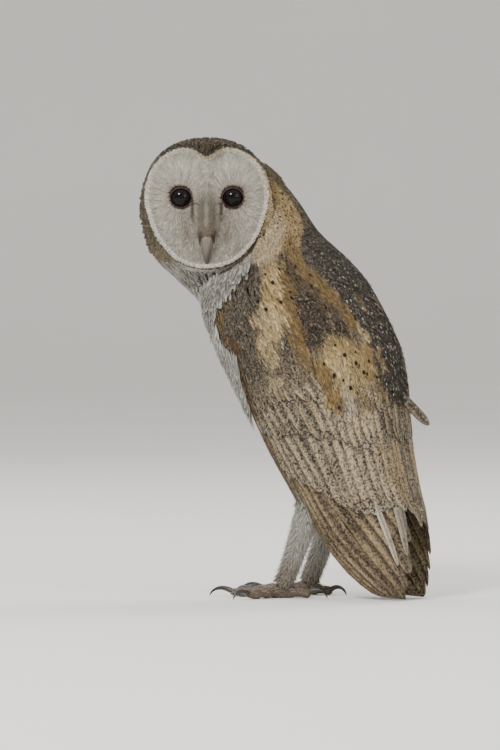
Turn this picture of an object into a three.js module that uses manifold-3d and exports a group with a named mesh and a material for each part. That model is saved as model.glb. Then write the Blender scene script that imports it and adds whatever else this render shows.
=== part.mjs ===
// Barn owl, life size, standing on a flat floor with its head turned over its left shoulder.
//
// Units are millimetres and degrees. +Z is up and the body faces -Y, so that its left side is +X.
// The floor is z = 0. The origin is under the middle of the model's bounding box.
//
// The body follows a spine in the plane x = 0: straight from the shoulders to the rump, then a gentle
// arc that lays the tail and the wing tips at floor level. A place on the body is given as
// (along, out, side): the distance down the spine, the distance towards the back, and x.
import * as THREE from "three";
import { mergeVertices } from "three/addons/utils/BufferGeometryUtils.js";
import Module from "manifold-3d";

const wasm = await Module();
wasm.setup();

// ---- Driving dimensions ----
const GAP = 0.3; // clearance between pieces that meet
const ORIGIN_SHIFT = 1.6; // along y, from the ankles to the middle of the bounding box

const SHOULDER_Y = -24.4; // where the spine starts, ahead of the ankles
const SHOULDER_Z = 230.5;
const BODY_PITCH = 60; // slope of the back
const BEND_START = 105; // along the spine, where the rump and wing tips start to curve up
const BEND_LENGTH = 160;
const BEND_ANGLE = 11;

const LAY_HEIGHT = 5; // wing tips that reach lower than this bend along the floor

const HEAD_X = 18; // the turned head swings towards the left shoulder
const HEAD_Y = -56.4;
const HEAD_Z = 269.8;
const HEAD_TURN = 115; // from straight ahead towards the owl's left
const HEAD_BACK = 41; // head centre to the back of the head
const HEAD_RADIUS = 43.5;
const HEAD_POWER = 2.3; // squarer than round, seen from the front
const CROWN_RISE = 2.6; // the crown stands higher than the mean radius, the chin lower

const DISC_RADIUS = 42.4;
const DISC_NOTCH = 8.5; // depth of the heart's notch above the bill
const DISC_NOTCH_WIDTH = 13; // degrees
const DISC_LOBE = 2.4; // the heart's two upper lobes
const DISC_LOBE_ANGLE = 40;
const DISC_LOBE_WIDTH = 26;
const DISC_THICKNESS = 3;
const DISC_RIM = 15; // rim ahead of the head centre
const DISC_SWEEP = 5; // the sides of the rim lie further back
const DISC_DEPTH = 8.5; // how deep the dish is
const RIDGE_HEIGHT = 15; // feathered ridge between the eyes
const RIDGE_LOW = -17; // height of the ridge's crest, from the head centre
const RIDGE_WIDTH = 6.2;

const EYE_RADIUS = 8.6;
const EYE_SIDE = 17.9;
const EYE_UP = 5.2;
const EYE_SHOWN = 6.7; // radius of the opening in the lids

const BILL_LENGTH = 24;
const BILL_WIDTH = 4.9; // half width at the base
const BILL_TOP = -17;

const LEG_SIDE = 20.5; // leg to the middle plane
const HOCK_Y = 21;
const HOCK_Z = 68;
const HOCK_BOW = 12; // how far the bend of the hock carries on in the line of the thigh
const ANKLE_Y = 2.5;
const ANKLE_Z = 8;
const TOE_RADIUS = 3.8;
const CLAW_RADIUS = 2.1;

// ---- Materials ----
const finish = (color, roughness) => new THREE.MeshStandardMaterial({ color, roughness, metalness: 0 });
const GOLDEN = finish(0xb08a52, 0.9);
const GREY_BROWN = finish(0x7d7264, 0.9);
const WHITE = finish(0xd8d4cb, 0.9);
const FACE = finish(0xc9c5bb, 0.9);
const HORN = finish(0x9d9288, 0.4);
const CLAW = finish(0x2f2724, 0.35);
const TOE = finish(0x7a6253, 0.7);
const EYE = finish(0x0c0a09, 0.05);

// ---- Shapes ----
const radians = THREE.MathUtils.degToRad;
const lerp = THREE.MathUtils.lerp;
const smooth = THREE.MathUtils.smoothstep;

// A bell curve of height 1 about zero.
const bell = (x, width) => Math.exp(-((x / width) ** 2));

// Value at x of a smooth curve through stations [x, value], by cubic Hermite pieces with centred slopes.
function through(stations, x) {
  const last = stations.length - 1;
  const inside = THREE.MathUtils.clamp(x, stations[0][0], stations[last][0]);
  let i = 0;
  while (i < last - 1 && inside > stations[i + 1][0]) i += 1;
  const slope = (k) => {
    const a = stations[Math.max(k - 1, 0)];
    const b = stations[Math.min(k + 1, last)];
    return (b[1] - a[1]) / (b[0] - a[0]);
  };
  const [x0, y0] = stations[i];
  const [x1, y1] = stations[i + 1];
  const span = x1 - x0;
  const t = (inside - x0) / span;
  return (
    y0 * (1 + 2 * t) * (1 - t) ** 2 +
    slope(i) * span * t * (1 - t) ** 2 +
    y1 * t * t * (3 - 2 * t) -
    slope(i + 1) * span * t * t * (1 - t)
  );
}

// The spine's point and slope at a distance along it: a straight line, then an arc.
function spine(along) {
  const pitch = radians(BODY_PITCH);
  const straight = Math.min(along, BEND_START);
  let y = SHOULDER_Y + straight * Math.cos(pitch);
  let z = SHOULDER_Z - straight * Math.sin(pitch);
  let slope = pitch;
  if (along > BEND_START) {
    const curvature = radians(BEND_ANGLE) / BEND_LENGTH;
    slope = pitch - curvature * (along - BEND_START);
    y += (Math.sin(pitch) - Math.sin(slope)) / curvature;
    z += (Math.cos(pitch) - Math.cos(slope)) / curvature;
  }
  return { y, z, slope };
}

// A place on the body, from (along, out, side) to space.
function bodyPoint(along, out, side) {
  const { y, z, slope } = spine(along);
  return new THREE.Vector3(side, y + out * Math.sin(slope), z + out * Math.cos(slope));
}

// A place on the head, from (right as one faces it, up, forward) to space.
function headPoint(right, up, forward) {
  const turn = radians(HEAD_TURN);
  return new THREE.Vector3(
    HEAD_X + right * Math.cos(turn) + forward * Math.sin(turn),
    HEAD_Y + right * Math.sin(turn) - forward * Math.cos(turn),
    HEAD_Z + up,
  );
}

// Turns a closed mesh into a manifold, facing out whichever way it was wound.
function solid(points, faces) {
  const geometry = new THREE.BufferGeometry().setFromPoints(points);
  geometry.setIndex(faces);
  const merged = mergeVertices(geometry, 1e-4);
  const kept = [];
  const index = merged.index.array;
  for (let i = 0; i < index.length; i += 3) {
    const [a, b, c] = [index[i], index[i + 1], index[i + 2]];
    if (a !== b && b !== c && c !== a) kept.push(a, b, c);
  }
  const build = (order) =>
    new wasm.Manifold(
      new wasm.Mesh({
        numProp: 3,
        vertProperties: merged.attributes.position.array,
        triVerts: new Uint32Array(order),
      }),
    );
  const made = build(kept);
  if (made.volume() > 0) return made;
  for (let i = 0; i < kept.length; i += 3) [kept[i + 1], kept[i + 2]] = [kept[i + 2], kept[i + 1]];
  return build(kept);
}

// A closed solid from rings of equally many points; each end closes on the middle of its ring.
function loft(rings) {
  const columns = rings[0].length;
  const points = rings.flat();
  const faces = [];
  for (let r = 0; r + 1 < rings.length; r += 1) {
    for (let c = 0; c < columns; c += 1) {
      const d = (c + 1) % columns;
      const [p, q] = [r * columns + c, r * columns + d];
      faces.push(p, q, q + columns, p, q + columns, p + columns);
    }
  }
  const middle = (ring) =>
    ring.reduce((sum, p) => sum.add(p), new THREE.Vector3()).divideScalar(columns);
  const [first, last] = [points.length, points.length + 1];
  points.push(middle(rings[0]), middle(rings[rings.length - 1]));
  const end = (rings.length - 1) * columns;
  for (let c = 0; c < columns; c += 1) {
    const d = (c + 1) % columns;
    faces.push(first, d, c, last, end + c, end + d);
  }
  return solid(points, faces);
}

const steps = (count) => Array.from({ length: count + 1 }, (_, i) => i / count);
const turns = (count) => Array.from({ length: count }, (_, i) => (2 * Math.PI * i) / count);

// One coordinate of a superellipse: power 2 is round, more is squarer.
const rounded = (x, power) => Math.sign(x) * Math.abs(x) ** (2 / power);

// A tube along a curve, given the radius along it. Each ring has a flat side down, and what would pass the
// floor is flattened on it.
function tube(curve, radiusAt, rows, columns) {
  const half = Math.PI / columns;
  const rings = steps(rows).map((t) => {
    const centre = curve.getPoint(t);
    const tangent = curve.getTangent(t);
    const across = new THREE.Vector3().crossVectors(tangent, new THREE.Vector3(0, 0, 1));
    if (across.length() < 0.2) across.set(1, 0, 0);
    across.normalize();
    const up = new THREE.Vector3().crossVectors(across, tangent).normalize();
    return turns(columns).map((angle) =>
      onFloor(
        centre
          .clone()
          .addScaledVector(across, radiusAt(t) * Math.cos(angle + half))
          .addScaledVector(up, radiusAt(t) * Math.sin(angle + half)),
      ),
    );
  });
  return loft(rings);
}

// Points below the floor rest on it.
function onFloor(point) {
  point.z = Math.max(point.z, 0);
  return point;
}

// What would hang below the floor is eased up and laid along it.
function laidOut(point) {
  if (point.z < LAY_HEIGHT) point.z = LAY_HEIGHT * Math.exp(point.z / LAY_HEIGHT - 1);
  return point;
}

// ---- Neck and trunk: one body, parted across the spine ----
// Half sections down the spine: [along, distance]. The neck is slim on the left, where the face looks out,
// and its sections turn with the head.
const BODY = {
  back: [
    [-80, 16], [-58, 35], [-28, 42], [0, 43], [27, 48], [50, 53],
    [96, 52], [116, 45], [130, 37], [160, 19], [184, 3],
  ],
  front: [
    [-80, -30], [-58, -60], [-38, -64], [-20, -58], [5, -51],
    [50, -54], [96, -47], [130, -39], [160, -26], [184, -13],
  ],
  left: [
    [-80, 4], [-58, 20], [-31, 17], [-9, 14], [6, 33], [24, 43],
    [50, 46], [96, 45], [130, 36], [160, 23], [184, 9],
  ],
  right: [
    [-80, 16], [-58, 29], [-28, 35], [0, 40], [24, 43],
    [50, 46], [96, 45], [130, 36], [160, 23], [184, 9],
  ],
  twist: [[-58, 22], [-16, 20], [10, 2], [30, 0], [184, 0]],
  power: 2.15,
};
const NECK_ROWS = [-80, -66, -52, -38, -26, -15, -6, 5];
const TRUNK_ROWS = [5 + GAP, 22, 38, 58, 80, 100, 118, 134, 150, 168, 184];

// The point of a section at an angle: 0 is the left side, a quarter turn is the back.
function sectionPoint(shape, along, angle, grow) {
  const back = through(shape.back, along) + grow;
  const front = through(shape.front, along) - grow;
  const side = through(Math.cos(angle) > 0 ? shape.left : shape.right, along) + grow;
  const out = ((back - front) / 2) * rounded(Math.sin(angle), shape.power);
  const across = side * rounded(Math.cos(angle), shape.power);
  const twist = radians(through(shape.twist, along));
  return bodyPoint(
    along,
    (back + front) / 2 + out * Math.cos(twist) + across * Math.sin(twist),
    across * Math.cos(twist) - out * Math.sin(twist),
  );
}

const bodySolid = (rows, grow) =>
  loft(rows.map((along) => turns(20).map((angle) => sectionPoint(BODY, along, angle, grow))));
const neckSolid = (grow = 0) => bodySolid(NECK_ROWS, grow);
const trunkSolid = (grow = 0) => bodySolid([TRUNK_ROWS[0] - grow, ...TRUNK_ROWS.slice(1)], grow);

// ---- Head and facial disc ----
// The disc's heart-shaped outline: radius at an angle from straight up.
function discRadius(angle) {
  const turn = Math.abs(THREE.MathUtils.radToDeg(Math.atan2(Math.sin(angle), Math.cos(angle))));
  return (
    DISC_RADIUS -
    DISC_NOTCH * bell(turn, DISC_NOTCH_WIDTH) +
    DISC_LOBE * bell(turn - DISC_LOBE_ANGLE, DISC_LOBE_WIDTH)
  );
}

// Forward place of the disc's face: a dish whose rim sweeps back at the sides, with a ridge in its middle.
function discForward(share, angle) {
  const right = share * discRadius(angle) * Math.sin(angle);
  const up = share * discRadius(angle) * Math.cos(angle);
  const rim = DISC_RIM - DISC_SWEEP * Math.sin(angle) ** 2 * share ** 2 - 2 * Math.cos(angle) * share;
  const dish = DISC_DEPTH * (1 - share ** 3);
  const crest = up > RIDGE_LOW ? bell(up - RIDGE_LOW, 34) : bell(up - RIDGE_LOW, 15);
  const width = RIDGE_WIDTH * lerp(0.75, 1.15, smooth(-up, -30, 15));
  return rim - dish + RIDGE_HEIGHT * crest * bell(right, width) * (1 - share ** 6);
}

const discPoint = (share, angle, back = 0) =>
  headPoint(
    share * discRadius(angle) * Math.sin(angle),
    share * discRadius(angle) * Math.cos(angle),
    discForward(share, angle) - back,
  );

const HALF_TURN = [10, 22, 37, 55, 76, 98, 120, 142, 162];
const DISC_COLUMNS = [0, ...HALF_TURN, 180, ...HALF_TURN.map((angle) => 360 - angle).reverse()].map(radians);
const DISC_SHARES = [0.16, 0.38, 0.6, 0.82, 1];
const discBack = (share) => DISC_THICKNESS * (1 - 0.6 * share ** 4);

function discSolid() {
  const front = DISC_SHARES.map((share) => DISC_COLUMNS.map((a) => discPoint(share, a)));
  const back = DISC_SHARES.map((share) => DISC_COLUMNS.map((a) => discPoint(share, a, discBack(share))));
  return loft([...front, ...back.reverse()]);
}

// The space in front of the disc, a little flared, kept clear of the neck's feathers.
function lookoutSolid() {
  const reaches = [[-DISC_THICKNESS - GAP, 1.01], [60, 1.25]];
  return loft(reaches.map(([ahead, flare]) =>
    DISC_COLUMNS.map((a) =>
      headPoint(
        flare * discRadius(a) * Math.sin(a),
        flare * discRadius(a) * Math.cos(a),
        discForward(1, a) + ahead,
      ),
    ),
  ));
}

// The back of the head is half an egg, squarish from the front; its face follows the back of the disc.
function headRadius(angle) {
  const reach = Math.abs(Math.sin(angle)) ** HEAD_POWER + Math.abs(Math.cos(angle)) ** HEAD_POWER;
  return HEAD_RADIUS * reach ** (-1 / HEAD_POWER) + CROWN_RISE * Math.cos(angle);
}

const HEAD_WIDEST = 1; // ahead of the head centre

function headSolid(grow = 0) {
  const shell = steps(5)
    .slice(1)
    .map((t) => {
      const swing = (t * Math.PI) / 2;
      return DISC_COLUMNS.map((a) => {
        const radius = (headRadius(a) + grow) * Math.sin(swing) ** 0.9;
        const forward = HEAD_WIDEST - (HEAD_BACK + grow) * Math.cos(swing);
        return headPoint(radius * Math.sin(a), radius * Math.cos(a), forward);
      });
    });
  const brim = DISC_COLUMNS.map((a) => {
    const radius = lerp(headRadius(a), discRadius(a), 0.5) + grow;
    return headPoint(radius * Math.sin(a), radius * Math.cos(a), lerp(HEAD_WIDEST, discForward(1, a), 0.6));
  });
  const face = [...DISC_SHARES]
    .reverse()
    .map((share) => DISC_COLUMNS.map((a) => discPoint(share, a, discBack(share) + GAP - 2 * grow)));
  return loft([...shell, brim, ...face]);
}

// ---- Eyes ----
const eyeForward = (right) => {
  const share = Math.hypot(right, EYE_UP) / DISC_RADIUS;
  const surface = discForward(share, Math.atan2(right, EYE_UP));
  return surface - Math.sqrt(EYE_RADIUS ** 2 - EYE_SHOWN ** 2) + 0.6;
};

function eyeSolid(right, grow = 0) {
  const centre = headPoint(right, EYE_UP, eyeForward(right));
  const ball = new THREE.SphereGeometry(EYE_RADIUS + grow, 12, 8);
  ball.rotateX(Math.PI / 2);
  ball.rotateZ(radians(HEAD_TURN));
  ball.deleteAttribute("normal");
  ball.deleteAttribute("uv");
  const merged = mergeVertices(ball, 1e-3);
  const points = [];
  for (let i = 0; i < merged.attributes.position.count; i += 1) {
    points.push(new THREE.Vector3().fromBufferAttribute(merged.attributes.position, i).add(centre));
  }
  return solid(points, Array.from(merged.index.array));
}

// ---- Bill ----
// A hooked half cone that hangs from the foot of the ridge.
function billSolid({ length, width, top, forward, hook, drop }, grow = 0) {
  const path = new THREE.QuadraticBezierCurve3(
    headPoint(0, top, forward - 7),
    headPoint(0, top - 0.25 * length, forward + hook),
    headPoint(0, top - length, forward - drop),
  );
  const rings = steps(5).map((t) => {
    const centre = path.getPoint(t);
    const tangent = path.getTangent(t);
    const across = headPoint(1, 0, 0).sub(headPoint(0, 0, 0));
    const out = new THREE.Vector3().crossVectors(across, tangent).normalize();
    const half = width * Math.sqrt(Math.max(1 - t ** 1.5, 0)) * (1 - 0.25 * t) + 0.25 + grow;
    return turns(8).map((angle) =>
      centre
        .clone()
        .addScaledVector(across, half * Math.cos(angle))
        .addScaledVector(out, half * 0.95 * Math.sin(angle)),
    );
  });
  return loft(rings);
}

const RIDGE_TOP = discForward(Math.abs(BILL_TOP) / DISC_RADIUS, Math.PI);
const UPPER_BILL = {
  length: BILL_LENGTH,
  width: BILL_WIDTH,
  top: BILL_TOP,
  forward: RIDGE_TOP - 3,
  hook: 6,
  drop: 4.5,
};
const LOWER_BILL = {
  length: BILL_LENGTH - 7,
  width: BILL_WIDTH - 1.2,
  top: BILL_TOP - 2,
  forward: RIDGE_TOP - 8,
  hook: 3,
  drop: 6,
};

// ---- Wings ----
// The outside of both folded wings, in sections like the body's, and how far round it each wing reaches.
const FOLDED = {
  back: [
    [0, 44.5], [14, 48], [27, 52.5], [50, 58], [96, 57], [116, 52], [130, 47],
    [151, 37], [176, 26], [195, 18.5], [217, 11], [243, -3], [258, -19],
  ],
  front: [
    [0, -48], [27, -52], [96, -55], [130, -57], [176, -59],
    [195, -60], [217, -58], [243, -49], [258, -39],
  ],
  left: [
    [0, 42], [24, 49], [50, 52], [96, 51], [130, 47], [151, 44],
    [176, 40], [195, 35], [217, 29], [243, 23], [258, 18],
  ],
  twist: [[0, 0], [258, 0]],
  power: 2.6,
};
FOLDED.right = FOLDED.left;
const WING_LEAD = [
  [0, -34], [20, -46], [50, -50], [100, -50],
  [150, -48], [200, -50], [243, -45], [258, -25],
];
const WING_TRAIL = [[0, 52], [50, 62], [100, 74], [130, 83], [200, 83], [243, 70], [258, 25]];
const WING_TIP = 258;
const WING_WIDTH = 60; // least distance across, from the leading to the trailing edge

// Place on the outside of a folded wing: distance along, share across from its leading edge, depth below.
function wingPoint(along, across, depth, hand) {
  const angle = radians(lerp(through(WING_LEAD, along), through(WING_TRAIL, along), across));
  const point = sectionPoint(FOLDED, along, angle, -depth);
  point.x *= hand;
  return point;
}

// A blade of the wing: it runs between two distances along, over a share of the wing's width, narrows to a
// round end past "round", and slants so that its trailing side ends later.
function bladeSolid({ from, to, slant, lead, depth, thickness, rows, round }, hand, grow = 0, under = 0) {
  const rings = steps(rows).map((t) => {
    const along = (w) => lerp(from - grow, to + grow, t) + slant * t * (w - 0.5);
    const tip = Math.sqrt(Math.max(1 - Math.max((t - round) / (1 - round), 0) ** 2, 0.03));
    const middle = (lead + 1) / 2;
    const width = (1 - lead) * tip + (2 * grow) / WING_WIDTH;
    const widths = steps(6).map((w) => middle + (w - 0.5) * width);
    const thick = (w) => (thickness(t) + under) * Math.sqrt(Math.max(1 - (2 * w - 1) ** 4, 0.05)) + 0.6;
    const outer = widths.map((w) => wingPoint(along(w), w, depth - grow, hand));
    const inner = widths.map((w, i) => wingPoint(along(w), w, depth + thick(i / 6) + grow, hand));
    return [...outer, ...inner.reverse()].map(laidOut);
  });
  return loft(rings);
}

const COVERTS = {
  from: NECK_ROWS.at(-1) + 2 * GAP,
  to: 132,
  slant: 34,
  lead: 0,
  depth: 0,
  thickness: (t) => lerp(10, 4, t),
  rows: 7,
  round: 0.62,
};
const SECONDARIES = {
  from: 80,
  to: 186,
  slant: 40,
  lead: 0.12,
  depth: 1.8,
  thickness: (t) => lerp(9, 2.6, t),
  rows: 6,
  round: 0.66,
};
const PRIMARIES = {
  from: 104,
  to: WING_TIP,
  slant: 0,
  lead: 0,
  depth: 3.4,
  thickness: (t) => lerp(6, 1.6, t),
  rows: 10,
  round: 0.8,
};
const CUTTER_DEPTH = 12;

// ---- Tail ----
const TAIL_START = 160;
const TAIL_END = 238;
const TAIL_OUT = [[0, -1], [0.5, -9], [1, -20]];
const TAIL_HALF = [[0, 11], [0.5, 16], [1, 17]];

function tailSolid() {
  const rings = steps(5).map((t) => {
    const along = lerp(TAIL_START, TAIL_END, t);
    const half = through(TAIL_HALF, t) * (t > 0.85 ? Math.sqrt(1 - ((t - 0.85) / 0.17) ** 2) : 1);
    const thick = lerp(5, 1.2, t);
    const arch = (w) => through(TAIL_OUT, t) - 4 * w * w * (1 - t);
    const top = steps(6).map((w) => bodyPoint(along, arch(2 * w - 1) + thick / 2, half * (2 * w - 1)));
    const bottom = steps(6).map((w) => bodyPoint(along, arch(1 - 2 * w) - thick / 2, half * (1 - 2 * w)));
    return [...top, ...bottom.slice(1, -1)].map(laidOut);
  });
  return loft(rings);
}

// A feather of the back that stands loose where the body tapers under it.
const LOOSE_FEATHER = { root: [116, 43, -3], tip: [162, 50, -8], half: 3.4, thickness: 0.7 };

function looseFeatherSolid() {
  const { root, tip, half, thickness } = LOOSE_FEATHER;
  const rings = steps(5).map((t) => {
    const wide = half * Math.sqrt(Math.max(1 - (2 * t - 1) ** 4, 0.04));
    const [along, out, side] = root.map((start, i) => lerp(start, tip[i], t));
    return [
      bodyPoint(along, out - wide, side - wide / 2),
      bodyPoint(along, out, side + thickness),
      bodyPoint(along, out + wide, side + wide / 2),
      bodyPoint(along, out, side - thickness),
    ];
  });
  return loft(rings);
}

// ---- Legs and feet ----
const THIGH_TOP = { along: 100, out: -18, side: LEG_SIDE - 3 };

function thighPath(hand) {
  const hip = bodyPoint(THIGH_TOP.along, THIGH_TOP.out, hand * THIGH_TOP.side);
  return new THREE.LineCurve3(hip, new THREE.Vector3(hand * LEG_SIDE, HOCK_Y, HOCK_Z));
}

function thighSolid(hand, grow = 0) {
  const radius = [[0, 18], [0.5, 14], [0.8, 10.5], [1, 8.8]];
  return tube(thighPath(hand), (t) => through(radius, t) + grow, 4, 10);
}

// The tarsus leaves the thigh in its direction, then bends forward from the hock down to the foot.
function tarsusSolid(hand, grow = 0) {
  const thigh = thighPath(hand);
  const down = thigh.getTangent(1);
  const hock = thigh.getPoint(1).addScaledVector(down, 2 * GAP);
  const heel = thigh.getPoint(1).addScaledVector(down, HOCK_BOW);
  const ankle = new THREE.Vector3(hand * (LEG_SIDE + 1), ANKLE_Y, ANKLE_Z - 1);
  const radius = [[0, 8.8], [0.2, 8.8], [0.55, 7.8], [0.85, 6.6], [1, 6.4]];
  return tube(new THREE.QuadraticBezierCurve3(hock, heel, ankle), (t) => through(radius, t) + grow, 6, 10);
}

function footSolid(hand, grow = 0) {
  const across = new THREE.Vector3(hand * (LEG_SIDE + 1), ANKLE_Y + 7, 5);
  const front = new THREE.Vector3(hand * (LEG_SIDE + 1), ANKLE_Y - 8, 4.2);
  const radius = [[0, 2.5], [0.25, 5.6], [0.6, 6.4], [1, 3]];
  return tube(new THREE.LineCurve3(across, front), (t) => through(radius, t) + grow, 5, 10);
}

// Each toe: its direction from straight ahead (outwards is positive), length, joint count and claw.
const TOES = {
  middle: { heading: 4, length: 35, claw: 18, joints: 3 },
  inner: { heading: -22, length: 29, claw: 18, joints: 2 },
  outer: { heading: 62, length: 27, claw: 14, joints: 3 },
  hind: { heading: 190, length: 17, claw: 14, joints: 1 },
};
const TOE_START = 3;

function toeFrame(hand, { heading }) {
  const angle = radians(heading);
  const ahead = new THREE.Vector3(hand * Math.sin(angle), -Math.cos(angle), 0);
  const root = new THREE.Vector3(hand * (LEG_SIDE + 1), ANKLE_Y, 0).addScaledVector(ahead, TOE_START);
  return { ahead, root };
}

function toeSolid(hand, toe, grow = 0) {
  const { ahead, root } = toeFrame(hand, toe);
  const at = (distance, height) => root.clone().addScaledVector(ahead, distance).setZ(height);
  const path = new THREE.CatmullRomCurve3([
    at(0, 4.2),
    at(toe.length * 0.35, 3.2),
    at(toe.length * 0.7, 2.9),
    at(toe.length, 3.1),
  ]);
  // Pads swell between the joints.
  const pads = (t) => 1 + 0.1 * Math.cos(2 * Math.PI * toe.joints * t);
  const radius = (t) => TOE_RADIUS * lerp(1.08, 0.86, t) * pads(t) * (t > 0.99 ? 0.7 : 1);
  return tube(path, (t) => radius(t) + grow, toe.joints + 4, 8);
}

function clawSolid(hand, toe, grow = 0) {
  const { ahead, root } = toeFrame(hand, toe);
  const at = (distance, height) => root.clone().addScaledVector(ahead, toe.length + distance).setZ(height);
  const reach = toe.claw * 0.86;
  const path = new THREE.CubicBezierCurve3(
    at(GAP + CLAW_RADIUS / 2, 3.8),
    at(reach * 0.35, 7.2),
    at(reach * 0.85, 6.2),
    at(reach, 0.5),
  );
  return tube(path, (t) => CLAW_RADIUS * Math.sqrt(1 - t * 0.97) * lerp(1, 0.8, t) + grow, 5, 6);
}

// ---- Assembly ----
const owl = new THREE.Group();
owl.position.y = ORIGIN_SHIFT;

function add(name, piece, material) {
  const mesh = piece.getMesh();
  const geometry = new THREE.BufferGeometry();
  geometry.setAttribute("position", new THREE.BufferAttribute(mesh.vertProperties, 3));
  geometry.setIndex(new THREE.BufferAttribute(mesh.triVerts, 1));
  geometry.computeVertexNormals();
  const part = new THREE.Mesh(geometry, material);
  part.name = name;
  owl.add(part);
}

// The largest piece, where a cut leaves crumbs.
function largest(piece) {
  return piece.decompose().sort((a, b) => b.volume() - a.volume())[0];
}

const cut = (piece, ...tools) => largest(tools.reduce((left, tool) => left.subtract(tool), piece));

const HANDS = { left: 1, right: -1 };
const head = headSolid(GAP);
const neck = neckSolid(GAP);
const trunk = trunkSolid(GAP);
const eyes = Object.values(HANDS).map((hand) => eyeSolid(hand * EYE_SIDE, GAP));
const bills = [billSolid(UPPER_BILL, GAP), billSolid(LOWER_BILL, GAP)];

add("head", cut(headSolid(), ...eyes, ...bills), GREY_BROWN);
add("facial_disc", cut(discSolid(), ...eyes, ...bills), FACE);
add("bill_upper", billSolid(UPPER_BILL), HORN);
add("bill_lower", cut(billSolid(LOWER_BILL), billSolid(UPPER_BILL, GAP)), HORN);
add("neck", cut(neckSolid(), head, lookoutSolid()), GOLDEN);
add("trunk", trunkSolid(), WHITE);

const bodyAndWings = [neck, trunk];
for (const [side, hand] of Object.entries(HANDS)) {
  const coverts = bladeSolid(COVERTS, hand, GAP);
  const secondaries = bladeSolid(SECONDARIES, hand, GAP);
  const coverCutter = bladeSolid(COVERTS, hand, 2 * GAP, CUTTER_DEPTH);
  const secondaryCutter = bladeSolid(SECONDARIES, hand, 2 * GAP, CUTTER_DEPTH);
  add(`eye_${side}`, eyeSolid(hand * EYE_SIDE), EYE);
  add(`wing_${side}`, cut(bladeSolid(COVERTS, hand), trunk), GOLDEN);
  add(`secondaries_${side}`, cut(bladeSolid(SECONDARIES, hand), trunk, coverCutter), GREY_BROWN);
  const above = [coverCutter, secondaryCutter];
  add(`primaries_${side}`, cut(bladeSolid(PRIMARIES, hand), trunk, ...above), GREY_BROWN);
  bodyAndWings.push(coverts, secondaries, bladeSolid(PRIMARIES, hand, GAP));
}

add("tail", cut(tailSolid(), ...bodyAndWings), GREY_BROWN);
add("loose_feather", cut(looseFeatherSolid(), ...bodyAndWings), GREY_BROWN);

for (const [side, hand] of Object.entries(HANDS)) {
  const tarsus = tarsusSolid(hand, GAP);
  const foot = footSolid(hand, GAP);
  add(`thigh_${side}`, cut(thighSolid(hand), ...bodyAndWings), WHITE);
  add(`tarsus_${side}`, cut(tarsusSolid(hand), ...bodyAndWings), WHITE);
  add(`foot_${side}`, cut(footSolid(hand), tarsus), TOE);
  const earlier = [tarsus, foot];
  for (const [digit, toe] of Object.entries(TOES)) {
    add(`toe_${side}_${digit}`, cut(toeSolid(hand, toe), ...earlier), TOE);
    add(`claw_${side}_${digit}`, clawSolid(hand, toe), CLAW);
    earlier.push(toeSolid(hand, toe, GAP));
  }
}

export default owl;
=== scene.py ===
"""Barn owl, life size, standing on a flat floor and looking over its left shoulder.

The frame's solids hold the shape; this file lays skin, plumage, horn, eyes and scales over the same
surfaces. Shapes are worked out in millimetres and put into the meshes in metres. The body faces -Y, so
the owl's left side is +X. A place on the body is (along, out, side): down the spine, towards the back, x.
A place on the head is (right, up, forward) as one faces it.
"""

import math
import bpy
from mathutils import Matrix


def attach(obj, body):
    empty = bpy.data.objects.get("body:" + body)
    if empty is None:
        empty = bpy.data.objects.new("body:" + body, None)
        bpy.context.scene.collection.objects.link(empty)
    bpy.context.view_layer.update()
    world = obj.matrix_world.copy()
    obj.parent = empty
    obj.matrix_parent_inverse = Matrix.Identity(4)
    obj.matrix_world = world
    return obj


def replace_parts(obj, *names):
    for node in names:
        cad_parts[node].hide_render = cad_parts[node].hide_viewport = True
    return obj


bl_info = {
    "name": "Barn owl",
    "version": (1, 0, 0),
    "blender": (4, 5, 0),
    "location": "3D View > Sidebar > Barn owl",
    "description": "Skin, plumage, eyes, bill, feet and stage of a life-size barn owl",
    "category": "Add Mesh",
}

import bpy
import mathutils
import numpy as np
from bpy.props import FloatProperty, FloatVectorProperty, PointerProperty
from bpy.types import Operator, Panel, PropertyGroup

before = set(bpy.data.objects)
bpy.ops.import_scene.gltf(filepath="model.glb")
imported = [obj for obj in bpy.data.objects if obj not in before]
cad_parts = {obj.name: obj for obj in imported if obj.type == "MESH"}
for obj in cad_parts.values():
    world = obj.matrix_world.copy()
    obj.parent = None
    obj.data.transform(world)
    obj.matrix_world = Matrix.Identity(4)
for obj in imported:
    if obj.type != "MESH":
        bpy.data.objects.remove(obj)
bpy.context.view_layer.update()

MM = 0.001
ORIGIN_SHIFT = 1.6

# ---------------------------------------------------------------- shape of the bird

PITCH, BEND, BEND_START = math.radians(60), math.radians(11) / 160, 105.0
SHOULDER = (-24.4 + ORIGIN_SHIFT, 230.5)
HEAD = np.array((18.0, -56.4 + ORIGIN_SHIFT, 269.8))
TURN = math.radians(115)
HEAD_BACK, HEAD_RADIUS, HEAD_POWER, CROWN_RISE, HEAD_WIDEST = 41.0, 43.5, 2.3, 2.6, 1.0
DISC_RADIUS = 42.4
EYE_RADIUS, EYE_SIDE, EYE_UP, EYE_SHOWN = 8.6, 17.9, 5.2, 6.7
BILL_TOP, BILL_LENGTH, BILL_WIDTH = -17.0, 24.0, 4.9

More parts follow.
